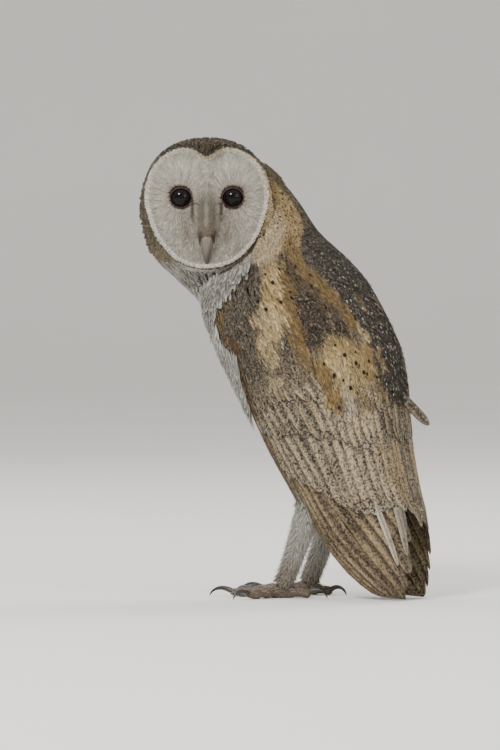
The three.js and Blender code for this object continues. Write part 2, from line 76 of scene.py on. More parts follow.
# Half sections down the spine, as (along, distance); power 2 is round and more is squarer.
BODY = dict(
    back=((-80, 16), (-58, 35), (-28, 42), (0, 43), (27, 48), (50, 53), (96, 52), (116, 45), (130, 37), (160, 19), (184, 3)),
    front=((-80, -30), (-58, -60), (-38, -64), (-20, -58), (5, -51), (50, -54), (96, -47), (130, -39), (160, -26), (184, -13)),
    left=((-80, 4), (-58, 20), (-31, 17), (-9, 14), (6, 33), (24, 43), (50, 46), (96, 45), (130, 36), (160, 23), (184, 9)),
    right=((-80, 16), (-58, 29), (-28, 35), (0, 40), (24, 43), (50, 46), (96, 45), (130, 36), (160, 23), (184, 9)),
    twist=((-58, 22), (-16, 20), (10, 2), (30, 0), (184, 0)),
    power=2.15,
)
FOLDED_SIDE = ((0, 42), (24, 49), (50, 52), (96, 51), (130, 47), (151, 44), (176, 40), (195, 35), (217, 29), (243, 23), (258, 18))
FOLDED = dict(
    back=((0, 44.5), (14, 48), (27, 52.5), (50, 58), (96, 57), (116, 52), (130, 47), (151, 37), (176, 26), (195, 18.5), (217, 11), (243, -3), (258, -19)),
    front=((0, -48), (27, -52), (96, -55), (130, -57), (176, -59), (195, -60), (217, -58), (243, -49), (258, -39)),
    left=FOLDED_SIDE,
    right=FOLDED_SIDE,
    twist=((0, 0), (258, 0)),
    power=2.6,
)
# The cloak of the nape, mantle and scapulars lies over the body above and the wings below.
CLOAK = dict(
    back=((-60, 35), (-28, 42), (-8, 44), (0, 45), (14, 48.5), (27, 53), (50, 58), (96, 57.5), (116, 52.5), (130, 47), (151, 37), (176, 26)),
    front=((-60, -60), (-20, -58), (0, -50), (27, -52), (96, -55), (130, -57), (176, -59)),
    left=((-60, 20), (-31, 18), (-14, 19), (-4, 27), (6, 38), (16, 46), (28, 50), (50, 52.5), (96, 51.5), (130, 47.5), (151, 44), (176, 40)),
    right=((-60, 29), (-28, 36), (-10, 39), (6, 43.5), (16, 47), (28, 50), (50, 52.5), (96, 51.5), (130, 47.5), (151, 44), (176, 40)),
    twist=((-58, 22), (-16, 20), (10, 2), (30, 0), (184, 0)),
    power=2.4,
)
WING_LEAD = ((0, -34), (20, -46), (50, -50), (100, -50), (150, -48), (200, -50), (243, -45), (258, -25))
WING_TRAIL = ((0, 52), (50, 62), (100, 74), (130, 83), (200, 83), (243, 70), (258, 25))
LAY_HEIGHT = 5.0
# The rim's share of the plain outline, by degrees from the top: fuller lobes, narrower cheeks.
HEART = ((0, 0.955), (13, 0.95), (27, 0.965), (45, 1.0), (62, 1.018), (79, 1.005), (90, 0.982), (100, 0.96), (110, 0.953), (120, 0.958), (135, 0.977), (150, 1.008), (165, 1.022), (180, 1.024))


def through(stations, x):
    """Smooth curve through stations of (place, value): cubic Hermite pieces with centred slopes."""
    xs, ys = np.array(stations, float).T
    slope = np.empty(len(xs))
    slope[1:-1] = (ys[2:] - ys[:-2]) / (xs[2:] - xs[:-2])
    slope[0], slope[-1] = (ys[1] - ys[0]) / (xs[1] - xs[0]), (ys[-1] - ys[-2]) / (xs[-1] - xs[-2])
    x = np.clip(x, xs[0], xs[-1])
    i = np.clip(np.searchsorted(xs, x) - 1, 0, len(xs) - 2)
    span = xs[i + 1] - xs[i]
    t = (x - xs[i]) / span
    return (
        ys[i] * (1 + 2 * t) * (1 - t) ** 2
        + slope[i] * span * t * (1 - t) ** 2
        + ys[i + 1] * t * t * (3 - 2 * t)
        - slope[i + 1] * span * t * t * (1 - t)
    )


def smooth(x, low, high):
    """0 below low, 1 above high, an S curve 3t^2 - 2t^3 between."""
    t = np.clip((x - low) / (high - low), 0, 1)
    return t * t * (3 - 2 * t)


def bell(x, width):
    """exp(-(x / width)^2), a bump of height 1."""
    return np.exp(-((x / width) ** 2))


def mix(a, b, share):
    """a where share is 0, b where it is 1; share may be one number or one for each row of a colour."""
    share = np.asarray(share, float)
    if np.ndim(a) and np.shape(a)[-1] == 3 and share.shape[-1:] != (3,):
        share = share[..., None]
    return np.asarray(a) * (1 - share) + np.asarray(b) * share


def rounded(x, power):
    return np.sign(x) * np.abs(x) ** (2 / power)


def spine(along):
    """Point and slope of the spine: a straight line at the pitch, then an arc of constant bend."""
    straight = np.minimum(along, BEND_START)
    slope = PITCH - BEND * np.maximum(along - BEND_START, 0)
    y = SHOULDER[0] + straight * math.cos(PITCH) + (math.sin(PITCH) - np.sin(slope)) / BEND
    z = SHOULDER[1] - straight * math.sin(PITCH) + (math.cos(PITCH) - np.cos(slope)) / BEND
    return y, z, slope


def body_point(along, out, side):
    """Spine point plus out along its normal, at x = side."""
    y, z, slope = spine(along)
    return np.stack(np.broadcast_arrays(side, y + out * np.sin(slope), z + out * np.cos(slope)), -1)


def body_place(points):
    """(along, out, side) of points: the inverse of body_point, by the straight line or the arc's centre."""
    y, z = points[..., 1] - SHOULDER[0], points[..., 2] - SHOULDER[1]
    along = y * math.cos(PITCH) - z * math.sin(PITCH)
    out = y * math.sin(PITCH) + z * math.cos(PITCH)
    cy = BEND_START * math.cos(PITCH) + math.sin(PITCH) / BEND
    cz = -BEND_START * math.sin(PITCH) + math.cos(PITCH) / BEND
    slope = np.arctan2(cy - y, cz - z)
    bent = along > BEND_START
    along = np.where(bent, BEND_START + (PITCH - slope) / BEND, along)
    out = np.where(bent, 1 / BEND - np.hypot(cy - y, cz - z), out)
    return along, out, points[..., 0]


def head_point(right, up, forward):
    return np.stack(
        np.broadcast_arrays(
            HEAD[0] + right * math.cos(TURN) + forward * math.sin(TURN),
            HEAD[1] + right * math.sin(TURN) - forward * math.cos(TURN),
            HEAD[2] + up,
        ),
        -1,
    )


def head_place(points):
    """(right, up, forward) of points: the inverse of head_point."""
    x, y = points[..., 0] - HEAD[0], points[..., 1] - HEAD[1]
    return x * math.cos(TURN) + y * math.sin(TURN), points[..., 2] - HEAD[2], x * math.sin(TURN) - y * math.cos(TURN)


def section(shape, along, angle, depth=0.0):
    """Superellipse round the spine, whose four half widths come from the shape's stations, turned by its twist.
    angle 0 is the left side and a quarter turn is the back; depth is measured inwards."""
    back = through(shape["back"], along) - depth
    front = through(shape["front"], along) + depth
    side = np.where(np.cos(angle) > 0, through(shape["left"], along), through(shape["right"], along)) - depth
    out = (back - front) / 2 * rounded(np.sin(angle), shape["power"])
    across = side * rounded(np.cos(angle), shape["power"])
    twist = np.radians(through(shape["twist"], along))
    return body_point(
        along,
        (back + front) / 2 + out * np.cos(twist) + across * np.sin(twist),
        across * np.cos(twist) - out * np.sin(twist),
    )


def laid(points):
    """What would hang below the laying height h is eased up to h exp(z / h - 1)."""
    z = points[..., 2]
    points[..., 2] = np.where(z < LAY_HEIGHT, LAY_HEIGHT * np.exp(np.minimum(z, LAY_HEIGHT) / LAY_HEIGHT - 1), z)
    return points


def on_wing(hand):
    """Place on a folded wing: along, share across from the leading edge to the back, depth inwards."""

    def place(along, across, depth):
        angle = np.radians(mix(through(WING_LEAD, along), through(WING_TRAIL, along), across))
        points = laid(section(FOLDED, along, angle, depth))
        points[..., 0] *= hand
        return points

    return place


def disc_radius(angle):
    """Heart outline: a circle less a narrow bell at the top, plus a wide bell on each side of it."""
    turn = np.degrees(np.abs(np.arctan2(np.sin(angle), np.cos(angle))))
    return (DISC_RADIUS - 8.5 * bell(turn, 13) + 2.4 * bell(turn - 40, 26)) * through(HEART, turn)


def disc_forward(right, up):
    """A dish 8.5 deep that falls with the cube of the share of the rim, with a ridge whose height is a bell."""
    angle = np.arctan2(right, up)
    share = np.minimum(np.hypot(right, up) / disc_radius(angle), 1)
    rim = 15 - 5 * np.sin(angle) ** 2 * share**2 - 2 * np.cos(angle) * share
    crest = np.where(up > -17, bell(up + 17, 34), bell(up + 17, 15))
    width = 6.2 * mix(0.75, 1.15, smooth(-up, -30, 15))
    return rim - 8.5 * (1 - share**3) + 15 * crest * bell(right, width) * (1 - share**6)


def on_disc(right, up, depth):
    return head_point(right, up, disc_forward(right, up) - depth)


def head_radius(angle):
    reach = np.abs(np.sin(angle)) ** HEAD_POWER + np.abs(np.cos(angle)) ** HEAD_POWER
    return HEAD_RADIUS * reach ** (-1 / HEAD_POWER) + CROWN_RISE * np.cos(angle)


# The crown's feathers flow from a pole on the forehead, over the head, to a pole under the nape.
FLOW_TILT = math.radians(50)


def on_head(sweep, round_, depth):
    """Half an egg behind the disc, on sphere coordinates about the flow's axis: sweep from the forehead's pole,
    round_ about it. Behind the widest place the profile is an ellipse; ahead of it, a barrel up to the disc."""
    a = np.cos(sweep)
    b, c = np.sin(sweep) * np.sin(round_), np.sin(sweep) * np.cos(round_)
    up = a * math.cos(FLOW_TILT) + c * math.sin(FLOW_TILT)
    forward = a * math.sin(FLOW_TILT) - c * math.cos(FLOW_TILT)
    right = b
    angle = np.arctan2(right, up)
    polar = np.arctan2(np.hypot(right, up), -forward)
    radius = head_radius(angle) - depth
    behind = np.arctan2((HEAD_BACK - depth) * np.sin(polar), radius * np.cos(polar))
    ahead = np.clip(HEAD_RADIUS * np.tan(np.clip(polar - math.pi / 2, 0, 0.6)), 0, 30)
    rim = disc_forward(disc_radius(angle) * np.sin(angle), disc_radius(angle) * np.cos(angle))
    far = smooth(ahead, 0, rim)
    barrel = mix(radius, disc_radius(angle) + 0.4 - depth, far)
    rho = np.where(polar < math.pi / 2, radius * np.abs(np.sin(behind)) ** 0.9, barrel)
    where = np.where(polar < math.pi / 2, HEAD_WIDEST - (HEAD_BACK - depth) * np.cos(behind), HEAD_WIDEST + ahead)
    return head_point(rho * np.sin(angle), rho * np.cos(angle), where)


def bezier(points, t):
    """Bezier curve of any degree, by repeated mixing of neighbours."""
    level = [np.asarray(p, float) for p in points]
    t = np.asarray(t, float)[..., None]
    while len(level) > 1:
        level = [a * (1 - t) + b * t for a, b in zip(level, level[1:])]
    return level[0]


def tube(path, radius, t, angle, floor=True):
    """Point on a tube: the path's point at t plus radius(t) along its side and its upward normal."""
    step = 1e-3
    tangent = path(np.minimum(t + step, 1)) - path(np.maximum(t - step, 0))
    tangent /= np.linalg.norm(tangent, axis=-1, keepdims=True)
    across = np.cross(tangent, (0.0, 0.0, 1.0))
    across /= np.linalg.norm(across, axis=-1, keepdims=True)
    up = np.cross(across, tangent)
    r = radius(t)[..., None]
    points = path(t) + across * r * np.cos(angle)[..., None] + up * r * np.sin(angle)[..., None]
    if floor:
        points[..., 2] = np.maximum(points[..., 2], 0)
    return points


# ---------------------------------------------------------------- meshes


def hue(red, green, blue):
    """A display colour from 0 to 255, as linear light."""
    c = np.array((red, green, blue)) / 255
    return np.where(c < 0.04045, c / 12.92, ((c + 0.055) / 1.055) ** 2.4)


def make_piece(name, points, faces, layers=None, uv=None, material=None, sharp=False):
    """A mesh object from points in mm and arrays of faces with 3 or 4 corners. layers are per-point values;
    uv holds one pair for each point."""
    mesh = bpy.data.meshes.new(name)
    faces = [np.asarray(f, np.int32) for f in faces if len(f)]
    corners = np.concatenate([f.ravel() for f in faces])
    sizes = np.concatenate([np.full(len(f), f.shape[1], np.int32) for f in faces])
    mesh.vertices.add(len(points))
    mesh.vertices.foreach_set("co", (np.asarray(points) * MM).astype(np.float32).ravel())
    mesh.loops.add(len(corners))
    mesh.loops.foreach_set("vertex_index", corners)
    mesh.polygons.add(len(sizes))
    mesh.polygons.foreach_set("loop_start", np.concatenate([[0], np.cumsum(sizes)[:-1]]).astype(np.int32))
    mesh.polygons.foreach_set("loop_total", sizes)
    mesh.update(calc_edges=True)
    mesh.polygons.foreach_set("use_smooth", np.full(len(sizes), not sharp))
    for key, values in (layers or {}).items():
        values = np.asarray(values, np.float32)
        if key == "coat":
            layer = mesh.attributes.new(key, "FLOAT_COLOR", "POINT")
            layer.data.foreach_set("color", np.concatenate([values, np.ones((len(values), 1), np.float32)], 1).ravel())
        else:
            mesh.attributes.new(key, "FLOAT_VECTOR", "POINT").data.foreach_set("vector", values.ravel())
    if uv is not None:
        mesh.uv_layers.new(name="OFBake").data.foreach_set("uv", np.asarray(uv, np.float32)[corners].ravel())
    mesh.validate()
    obj = bpy.data.objects.new(name, mesh)
    bpy.context.scene.collection.objects.link(obj)
    if material is not None:
        mesh.materials.append(material)
    return obj


def sheet_faces(rows, columns, around=False):
    """Quads of a grid, closed round its columns if asked."""
    r = np.arange(rows - 1)[:, None]
    c = np.arange(columns if around else columns - 1)[None]
    d = (c + 1) % columns
    return np.stack(np.broadcast_arrays(r * columns + c, r * columns + d, (r + 1) * columns + d, (r + 1) * columns + c), -1).reshape(-1, 4)


def closed_tube(rings):
    """Points and faces of a tube from an array of rings, each end closed on the middle of its ring."""
    rows, columns = rings.shape[:2]
    points = np.concatenate([rings.reshape(-1, 3), rings[0].mean(0)[None], rings[-1].mean(0)[None]])
    c = np.arange(columns)
    d = (c + 1) % columns
    first, last, end = rows * columns, rows * columns + 1, (rows - 1) * columns
    caps = np.concatenate([np.stack([np.full(columns, first), d, c], 1), np.stack([np.full(columns, last), end + c, end + d], 1)])
    return points, [sheet_faces(rows, columns, True), caps]


def outward(points, faces):
    """The same faces, wound so that the closed surface holds a positive volume."""
    volume = 0.0
    for f in faces:
        a, b, c = points[f[:, 0]], points[f[:, 1]], points[f[:, 2]]
        volume += np.einsum("ij,ij->i", a, np.cross(b, c)).sum()
        if f.shape[1] == 4:
            volume += np.einsum("ij,ij->i", a, np.cross(c, points[f[:, 3]])).sum()
    return faces if volume > 0 else [f[:, ::-1] for f in faces]


def join_parts(parts):
    """Several (points, faces) as one."""
    points, faces, start = [], {3: [], 4: []}, 0
    for p, fs in parts:
        for f in outward(p, fs):
            faces[f.shape[1]].append(f + start)
        points.append(p)
        start += len(p)
    return np.concatenate(points), [np.concatenate(f) for f in faces.values() if f]


# ---------------------------------------------------------------- feathers


def vane_shape(stations, columns, ridge=0.3):
    """One feather's grid, closed underneath: rows at the stations (share along, share of the half width) and
    columns across; it starts and ends in a point. Returns along, across, height and the faces."""
    across = np.linspace(-1, 1, columns)
    s, t, h = [0.0], [0.0], [0.0]
    for share, wide in stations:
        s += [share] * columns
        t += list(across * wide)
        h += list(ridge * (1 - across**2) + 0.02)
    s.append(1.0), t.append(0.0), h.append(0.02)
    rows, last = len(stations), 1 + len(stations) * columns
    quads = [
        [1 + r * columns + c, 1 + (r + 1) * columns + c, 1 + (r + 1) * columns + (c + 1) % columns, 1 + r * columns + (c + 1) % columns]
        for r in range(rows - 1)
        for c in range(columns)
    ]
    end = 1 + (rows - 1) * columns
    tris = [[0, 1 + c, 1 + (c + 1) % columns] for c in range(columns)]
    tris += [[last, end + (c + 1) % columns, end + c] for c in range(columns)]
    return np.array(s), np.array(t), np.array(h), np.array(quads).reshape(-1, 4), np.array(tris)


FILAMENT = vane_shape(((0.3, 0.9), (0.7, 0.8)), 3)
SMALL_VANE = vane_shape(((0.15, 0.55), (0.45, 1.0), (0.75, 0.98), (0.93, 0.6)), 3)
SOFT_VANE = vane_shape(((0.12, 0.5), (0.35, 0.95), (0.6, 0.95), (0.82, 0.62), (0.94, 0.28)), 5)
ROUND_VANE = vane_shape(((0.12, 0.45), (0.4, 0.92), (0.68, 1.0), (0.86, 0.82), (0.96, 0.48)), 5)
BLUNT = ((0.01, 0.25), (0.06, 0.5), (0.15, 0.72), (0.3, 0.9), (0.5, 1), (0.7, 1), (0.82, 0.97), (0.9, 0.84), (0.95, 0.64), (0.985, 0.36))
LONG = ((0.01, 0.3), (0.06, 0.6), (0.15, 0.8), (0.28, 0.93), (0.42, 1), (0.56, 1), (0.68, 0.97), (0.78, 0.9), (0.86, 0.78), (0.92, 0.62), (0.96, 0.45), (0.988, 0.26))


def golden(count, seed, dimensions=2):
    """Evenly scattered numbers from 0 to 1: the additive sequence on powers of the generalised golden ratio."""
    ratio = 1.5
    for _ in range(30):
        ratio = (1 + ratio) ** (1 / (dimensions + 1))
    steps = (1 / ratio) ** np.arange(1, dimensions + 1)
    return ((seed * 0.137 + np.arange(1, count + 1)[:, None] * steps) % 1.0).T


def scatter(place, low, high, spacing, seed):
    """Roots (a, b) spread evenly over a surface in mm: an even sequence in the surface's own two numbers, thinned
    by the size of the patch that each stands for."""
    a, b = np.meshgrid(np.linspace(low[0], high[0], 60), np.linspace(low[1], high[1], 60), indexing="ij")
    patch = np.linalg.norm(np.cross(*metric_steps(place, a, b)), axis=-1)
    top = patch.max()
    total = top * (high[0] - low[0]) * (high[1] - low[1])
    count = int(total * paint.density / spacing**2)
    a, b, keep = golden(count, seed, 3)
    a, b = low[0] + a * (high[0] - low[0]), low[1] + b * (high[1] - low[1])
    patch = np.linalg.norm(np.cross(*metric_steps(place, a, b)), axis=-1)
    kept = keep < patch / top
    return np.stack([a[kept], b[kept]], 1)


def metric_steps(place, a, b):
    """How far the place moves, as a vector, for one unit of a and of b: centred differences."""
    step = 1e-3
    return (
        (place(a + step, b, 0.0) - place(a - step, b, 0.0)) / (2 * step),
        (place(a, b + step, 0.0) - place(a, b - step, 0.0)) / (2 * step),
    )


def solid_volumes(points, quads, tris):
    """Signed volume of each closed feather: a sixth of the sum of triple products over its triangles."""
    corners = np.concatenate([tris, quads[:, :3], quads[:, [0, 2, 3]]]) if len(quads) else tris
    a, b, c = (points[:, corners[:, k]] - points[:, :1] for k in range(3))
    return (a * np.cross(b, c)).sum((1, 2)) / 6


class Plumage:
    """Feathers gathered into one mesh."""

    def __init__(self):
        self.points, self.quads, self.tris, self.coat, self.pepper, self.barb, self.uv = [], [], [], [], [], [], []
        self.count = 0

    def add(self, place, shape, root, tip, half, depth, colour, window, rise=0.0, bow=0.0, tilt=0.0, curl=0.0, thick=0.5, patch=0.003, seed=1):
        """Lays feathers on a surface. A feather's middle line runs from root to tip in the surface's own two
        numbers, bowed sideways; a point of it stands across by its share of the half width, and its depth goes
        from depth[0] at the root to depth[1] at the tip, less the vane's ridge. colour(s, t, root, tip) gives the
        coat's colour and pepper."""
        s, t, h, quads, tris = shape
        n = len(root)
        if not n:
            return self
        full = lambda value: np.broadcast_to(np.asarray(value, float), (n,))[:, None]
        half, bow, tilt, curl, rise, thick = (full(v) for v in (half, bow, tilt, curl, rise, thick))
        d0, d1 = full(depth[0]), full(depth[1])
        a = root[:, :1] + (tip[:, :1] - root[:, :1]) * s
        b = root[:, 1:] + (tip[:, 1:] - root[:, 1:]) * s
        da, db = metric_steps(place, a, b)
        ma, mb = np.linalg.norm(da, axis=-1) + 1e-6, np.linalg.norm(db, axis=-1) + 1e-6
        ta, tb = (tip[:, :1] - root[:, :1]) * ma, (tip[:, 1:] - root[:, 1:]) * mb
        reach = np.hypot(ta, tb) + 1e-6
        ta, tb = ta / reach, tb / reach
        side = t * half + bow * 4 * s * (1 - s)
        a, b = a - tb * side / ma, b + ta * side / mb
        down = d0 + (d1 - d0) * s**0.8 - rise * s**3 - h * thick + tilt * t - curl * (s > 0.5) * (s - 0.5) ** 2 * 4
        points = place(a, b, down)
        start = self.count
        offset = start + np.arange(n)[:, None, None] * len(s)
        rng = np.random.default_rng(seed)
        chance = rng.random((n, 1))
        coat, pepper = colour(np.broadcast_to(s, a.shape), np.broadcast_to(t, a.shape), root, tip, rng)
        self.points.append(points.reshape(-1, 3))
        inside_out = solid_volumes(points, quads, tris) < 0
        for found, faces in ((self.quads, quads), (self.tris, tris)):
            if len(faces):
                found.append((offset + np.where(inside_out[:, None, None], faces[:, ::-1], faces)).reshape(-1, faces.shape[1]))
        self.coat.append(np.clip(np.broadcast_to(coat, a.shape + (3,)), 0, 1).reshape(-1, 3))
        self.pepper.append(np.broadcast_to(pepper, a.shape + (3,)).reshape(-1, 3))
        self.barb.append(np.stack([t * half, s * reach.mean(1, keepdims=True), np.broadcast_to(chance, a.shape)], -1).reshape(-1, 3))
        (low_a, low_b), (high_a, high_b) = window
        u = 0.02 + 0.96 * (root[:, :1] - low_a) / (high_a - low_a) + (t * 0.5) * patch
        v = 0.02 + 0.96 * (root[:, 1:] - low_b) / (high_b - low_b) + (s - 0.5) * patch
        self.uv.append(np.clip(np.stack([u, v], -1), 0.001, 0.999).reshape(-1, 2))
        self.count += n * len(s)
        return self

    def piece(self, name, slot, material, replaced=()):
        points = np.concatenate(self.points)
        faces = [np.concatenate(self.tris)] + ([np.concatenate(self.quads)] if self.quads else [])
        points[:, 2] = np.maximum(points[:, 2], 0.15)
        layers = {"coat": np.concatenate(self.coat), "pepper": np.concatenate(self.pepper), "barb": np.concatenate(self.barb)}
        obj = make_piece(name, points, faces, layers, np.concatenate(self.uv), material)
        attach(obj, "root")
        if replaced:
            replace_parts(obj, *replaced)
        return obj


# ---------------------------------------------------------------- markings

class Paint:
    """The coat's colours, as linear light."""

    white, snow, cream = hue(170, 167, 158), hue(196, 193, 183), hue(176, 156, 121)
    gold, gold_light, orange = hue(142, 118, 78), hue(198, 174, 124), hue(88, 68, 43)
    grey_brown, smoke, dark = hue(104, 94, 80), hue(63, 57, 49), hue(34, 28, 23)
    buff, pale_grey, brown = hue(156, 139, 109), hue(150, 144, 130), hue(78, 64, 49)
    face, pink, face_brown, ridge = hue(182, 177, 164), hue(164, 143, 130), hue(54, 35, 28), hue(122, 116, 101)
    drop, crown, rim_dark, cheek = hue(34, 27, 22), hue(50, 45, 37), hue(50, 35, 22), hue(130, 113, 98)

    density = 1.0

    def read(self, coat, colours):
        self.density = coat.density
        for name in ("white", "gold", "smoke", "buff", "face", "dark"):
            setattr(self, name, np.array(getattr(colours, name)))


paint = Paint()


DEGREE = 0.85


def stroke(along, degrees, path, reach):
    """1 within reach mm of a path of (along, degrees) places, falling to 0 outside it: the least distance to the
    path's pieces, a degree of turn counting for DEGREE mm."""
    least = 1e9
    for (a0, d0), (a1, d1) in zip(path, path[1:]):
        x, y = along - a0, (degrees - d0) * DEGREE
        dx, dy = a1 - a0, (d1 - d0) * DEGREE
        share = np.clip((x * dx + y * dy) / (dx * dx + dy * dy), 0, 1)
        least = np.minimum(least, np.hypot(x - share * dx, y - share * dy))
    return 1 - smooth(least / reach, 0.6, 1.4)


def wobble(x, y, size, seed):
    """Smooth waves from -1 to 1: a sum of sines in turned directions."""
    total = 0.0
    for k in range(5):
        turn = seed * 1.7 + k * 2.4
        total = total + np.sin((x * math.cos(turn) + y * math.sin(turn)) * (1 + 0.37 * k) / size * 2.1 + seed + k * 1.3)
    return total / 3.2


# Patches of the left side in the order they are laid, each repeated on the right: the path through (mm down the
# spine, degrees from the side to the back), reach in mm, the two colours and the second one's share, strength,
# dark flecks, pale flecks.
PATCHES = (
    (((-50, 16), (-25, 24), (-4, 26)), 20, "cream", "white", 0.15, 0.97, 0.02, 0.0),
    (((-44, 48), (-22, 52), (-6, 52), (4, 46)), 11, "gold", "cream", 0.3, 0.95, 0.2, 0.0),
    (((-34, -48), (-12, -26), (0, -8)), 11, "white", "white", 0, 1.0, 0.0, 0.0),
    (((12, 42), (29, 36), (44, 36), (54, 41), (62, 46)), 7.5, "orange", "grey_brown", 0.4, 0.9, 0.4, 0.1),
    (((3, 46), (16, 48), (29, 45), (42, 50), (54, 53), (66, 58), (78, 59)), 4.6, "gold", "orange", 0.35, 0.95, 0.12, 0.0),
    (((82, 63), (90, 66)), 3.4, "cream", "gold", 0.3, 0.9, 0.0, 0.0),
    (((49, 27), (58, 27), (66, 29), (76, 38), (83, 44)), 9, "smoke", "brown", 0.55, 1.0, 0.9, 0.5),
    (((60, 19), (78, 21)), 6, "smoke", "brown", 0.4, 1.0, 0.9, 0.5),
    (((93, 36), (102, 40), (113, 40)), 12.5, "gold", "gold_light", 0.4, 1.0, 0.0, 0.0),
    (((99, 57), (114, 57)), 6.5, "gold", "gold_light", 0.2, 0.9, 0.1, 0.0),
    (((95, 20), (108, 20), (120, 22)), 5, "gold", "orange", 0.25, 0.95, 0.1, 0.0),
    (((95, 32), (106, 33), (116, 32)), 6, "gold_light", "cream", 0.35, 0.9, 0.0, 0.0),
    (((20, 23), (31, 17), (43, 9), (54, 3)), 8, "gold_light", "gold", 0.65, 1.0, 0.03, 0.0),
    (((43, 2), (52, 4), (60, 0)), 5, "cream", "gold_light", 0.3, 0.9, 0.0, 0.0),
    (((21, 23), (30, 17)), 3.6, "cream", "gold_light", 0.3, 0.8, 0.0, 0.0),
    (((56, 1), (64, -5), (74, -6)), 3.6, "buff", "gold_light", 0.4, 0.8, 0.2, 0.0),
    (((30, 27), (44, 20), (60, 14), (72, 11), (84, 10), (95, 13)), 3.4, "gold", "orange", 0.5, 0.95, 0.15, 0.0),
    (((118, 31), (129, 34), (139, 35)), 3.6, "white", "cream", 0.4, 0.85, 0.0, 0.0),
    (((139, 34), (156, 34), (174, 36)), 2.6, "cream", "buff", 0.4, 0.7, 0.3, 0.0),
    (((11, 10), (15, 5)), 3.4, "smoke", "brown", 0.3, 0.9, 0.8, 0.3),
    (((18, -4), (26, -10), (40, -14), (52, -14)), 7.5, "grey_brown", "smoke", 0.45, 0.9, 0.75, 0.4),
    (((15, -8), (19, -16), (25, -24), (33, -30), (44, -31)), 2.8, "gold", "orange", 0.5, 0.85, 0.5, 0.0),
    (((48, -25), (58, -26), (68, -32), (79, -36), (92, -39), (108, -44)), 3.4, "orange", "brown", 0.35, 0.95, 0.3, 0.0),
    (((84, -8), (97, -8)), 2.4, "cream", "buff", 0.3, 0.8, 0.1, 0.0),
    (((102, 72), (115, 74)), 2.6, "cream", "gold", 0.5, 0.7, 0.2, 0.0),
    (((122, 66), (138, 68), (152, 66)), 3.2, "gold", "grey_brown", 0.35, 0.8, 0.5, 0.1),
    (((122, 50), (140, 48), (154, 46)), 3.6, "gold", "buff", 0.5, 0.8, 0.4, 0.1),
    (((60, 76), (72, 80)), 2.4, "gold", "grey_brown", 0.5, 0.6, 0.4, 0.2),
)


def upper_marks(along, degrees):
    """Coat colour and pepper (dark flecks, pale flecks, 0) of the neck's side, mantle and wings, from the distance
    down the spine and the angle from the side (0) to the back (90)."""
    a = along + 1.8 * wobble(along, degrees, 9, 2) + 1.5 * wobble(along * 0.5, degrees, 3, 7)
    d = degrees + 2.2 * wobble(along, degrees, 8, 5) + 1.8 * wobble(along * 0.4, degrees, 2.6, 9)
    lower = smooth(a, 66, 96) * (1 - smooth(d, 50, 68))
    back = smooth(d, 50, 72) * smooth(a, -30, 10)
    coat = mix(mix(paint.grey_brown, paint.smoke, 0.55), paint.smoke, back)
    coat = mix(coat, mix(paint.grey_brown, paint.buff, 0.35), lower)
    coat = mix(coat, mix(paint.crown, paint.cream, 0.2), 1 - smooth(a, -34, 4))
    dark, pale = 0.85 - 0.1 * lower, mix(0.45, 0.6, back) * (1 - 0.4 * lower)
    for path, reach, colour, other, share, strength, dark_flecks, pale_flecks in PATCHES:
        inside = stroke(a, d, path, reach) * strength
        coat = mix(coat, mix(getattr(paint, colour), getattr(paint, other), share), inside)
        dark, pale = mix(dark, dark_flecks, inside), mix(pale, pale_flecks, inside)
    return coat, np.stack([dark, pale, 0 * a], -1)


def marks_at(along, angle):
    """The same for a place on the cloak or body, with the angle in radians all the way round."""
    degrees = np.degrees(np.arctan2(np.sin(angle), np.abs(np.cos(angle))))
    return upper_marks(along, degrees)


def head_marks(points):
    """Coat and pepper of the crown and the sides of the head: grey-brown above, cream and golden below, with a
    brown wedge at the heart's notch."""
    right, up, forward = head_place(points)
    wave = wobble(right, up, 9, 3)
    low = (1 - smooth(up + 4 * wave, -12, 16)) * smooth(right, -30, 10)
    coat = mix(paint.crown, mix(paint.cream, paint.gold, 0.3), low * 0.8)
    coat = mix(coat, paint.smoke, smooth(wave, 0.1, 0.8) * 0.5)
    coat = mix(coat, mix(paint.gold, paint.orange, 0.6), bell(right, 12) * smooth(up, 26, 36) * smooth(forward, -4, 10) * 0.2)
    pepper = np.stack([mix(0.9, 0.3, low), mix(0.3, 0.1, low), 0 * up], -1)
    return coat, pepper


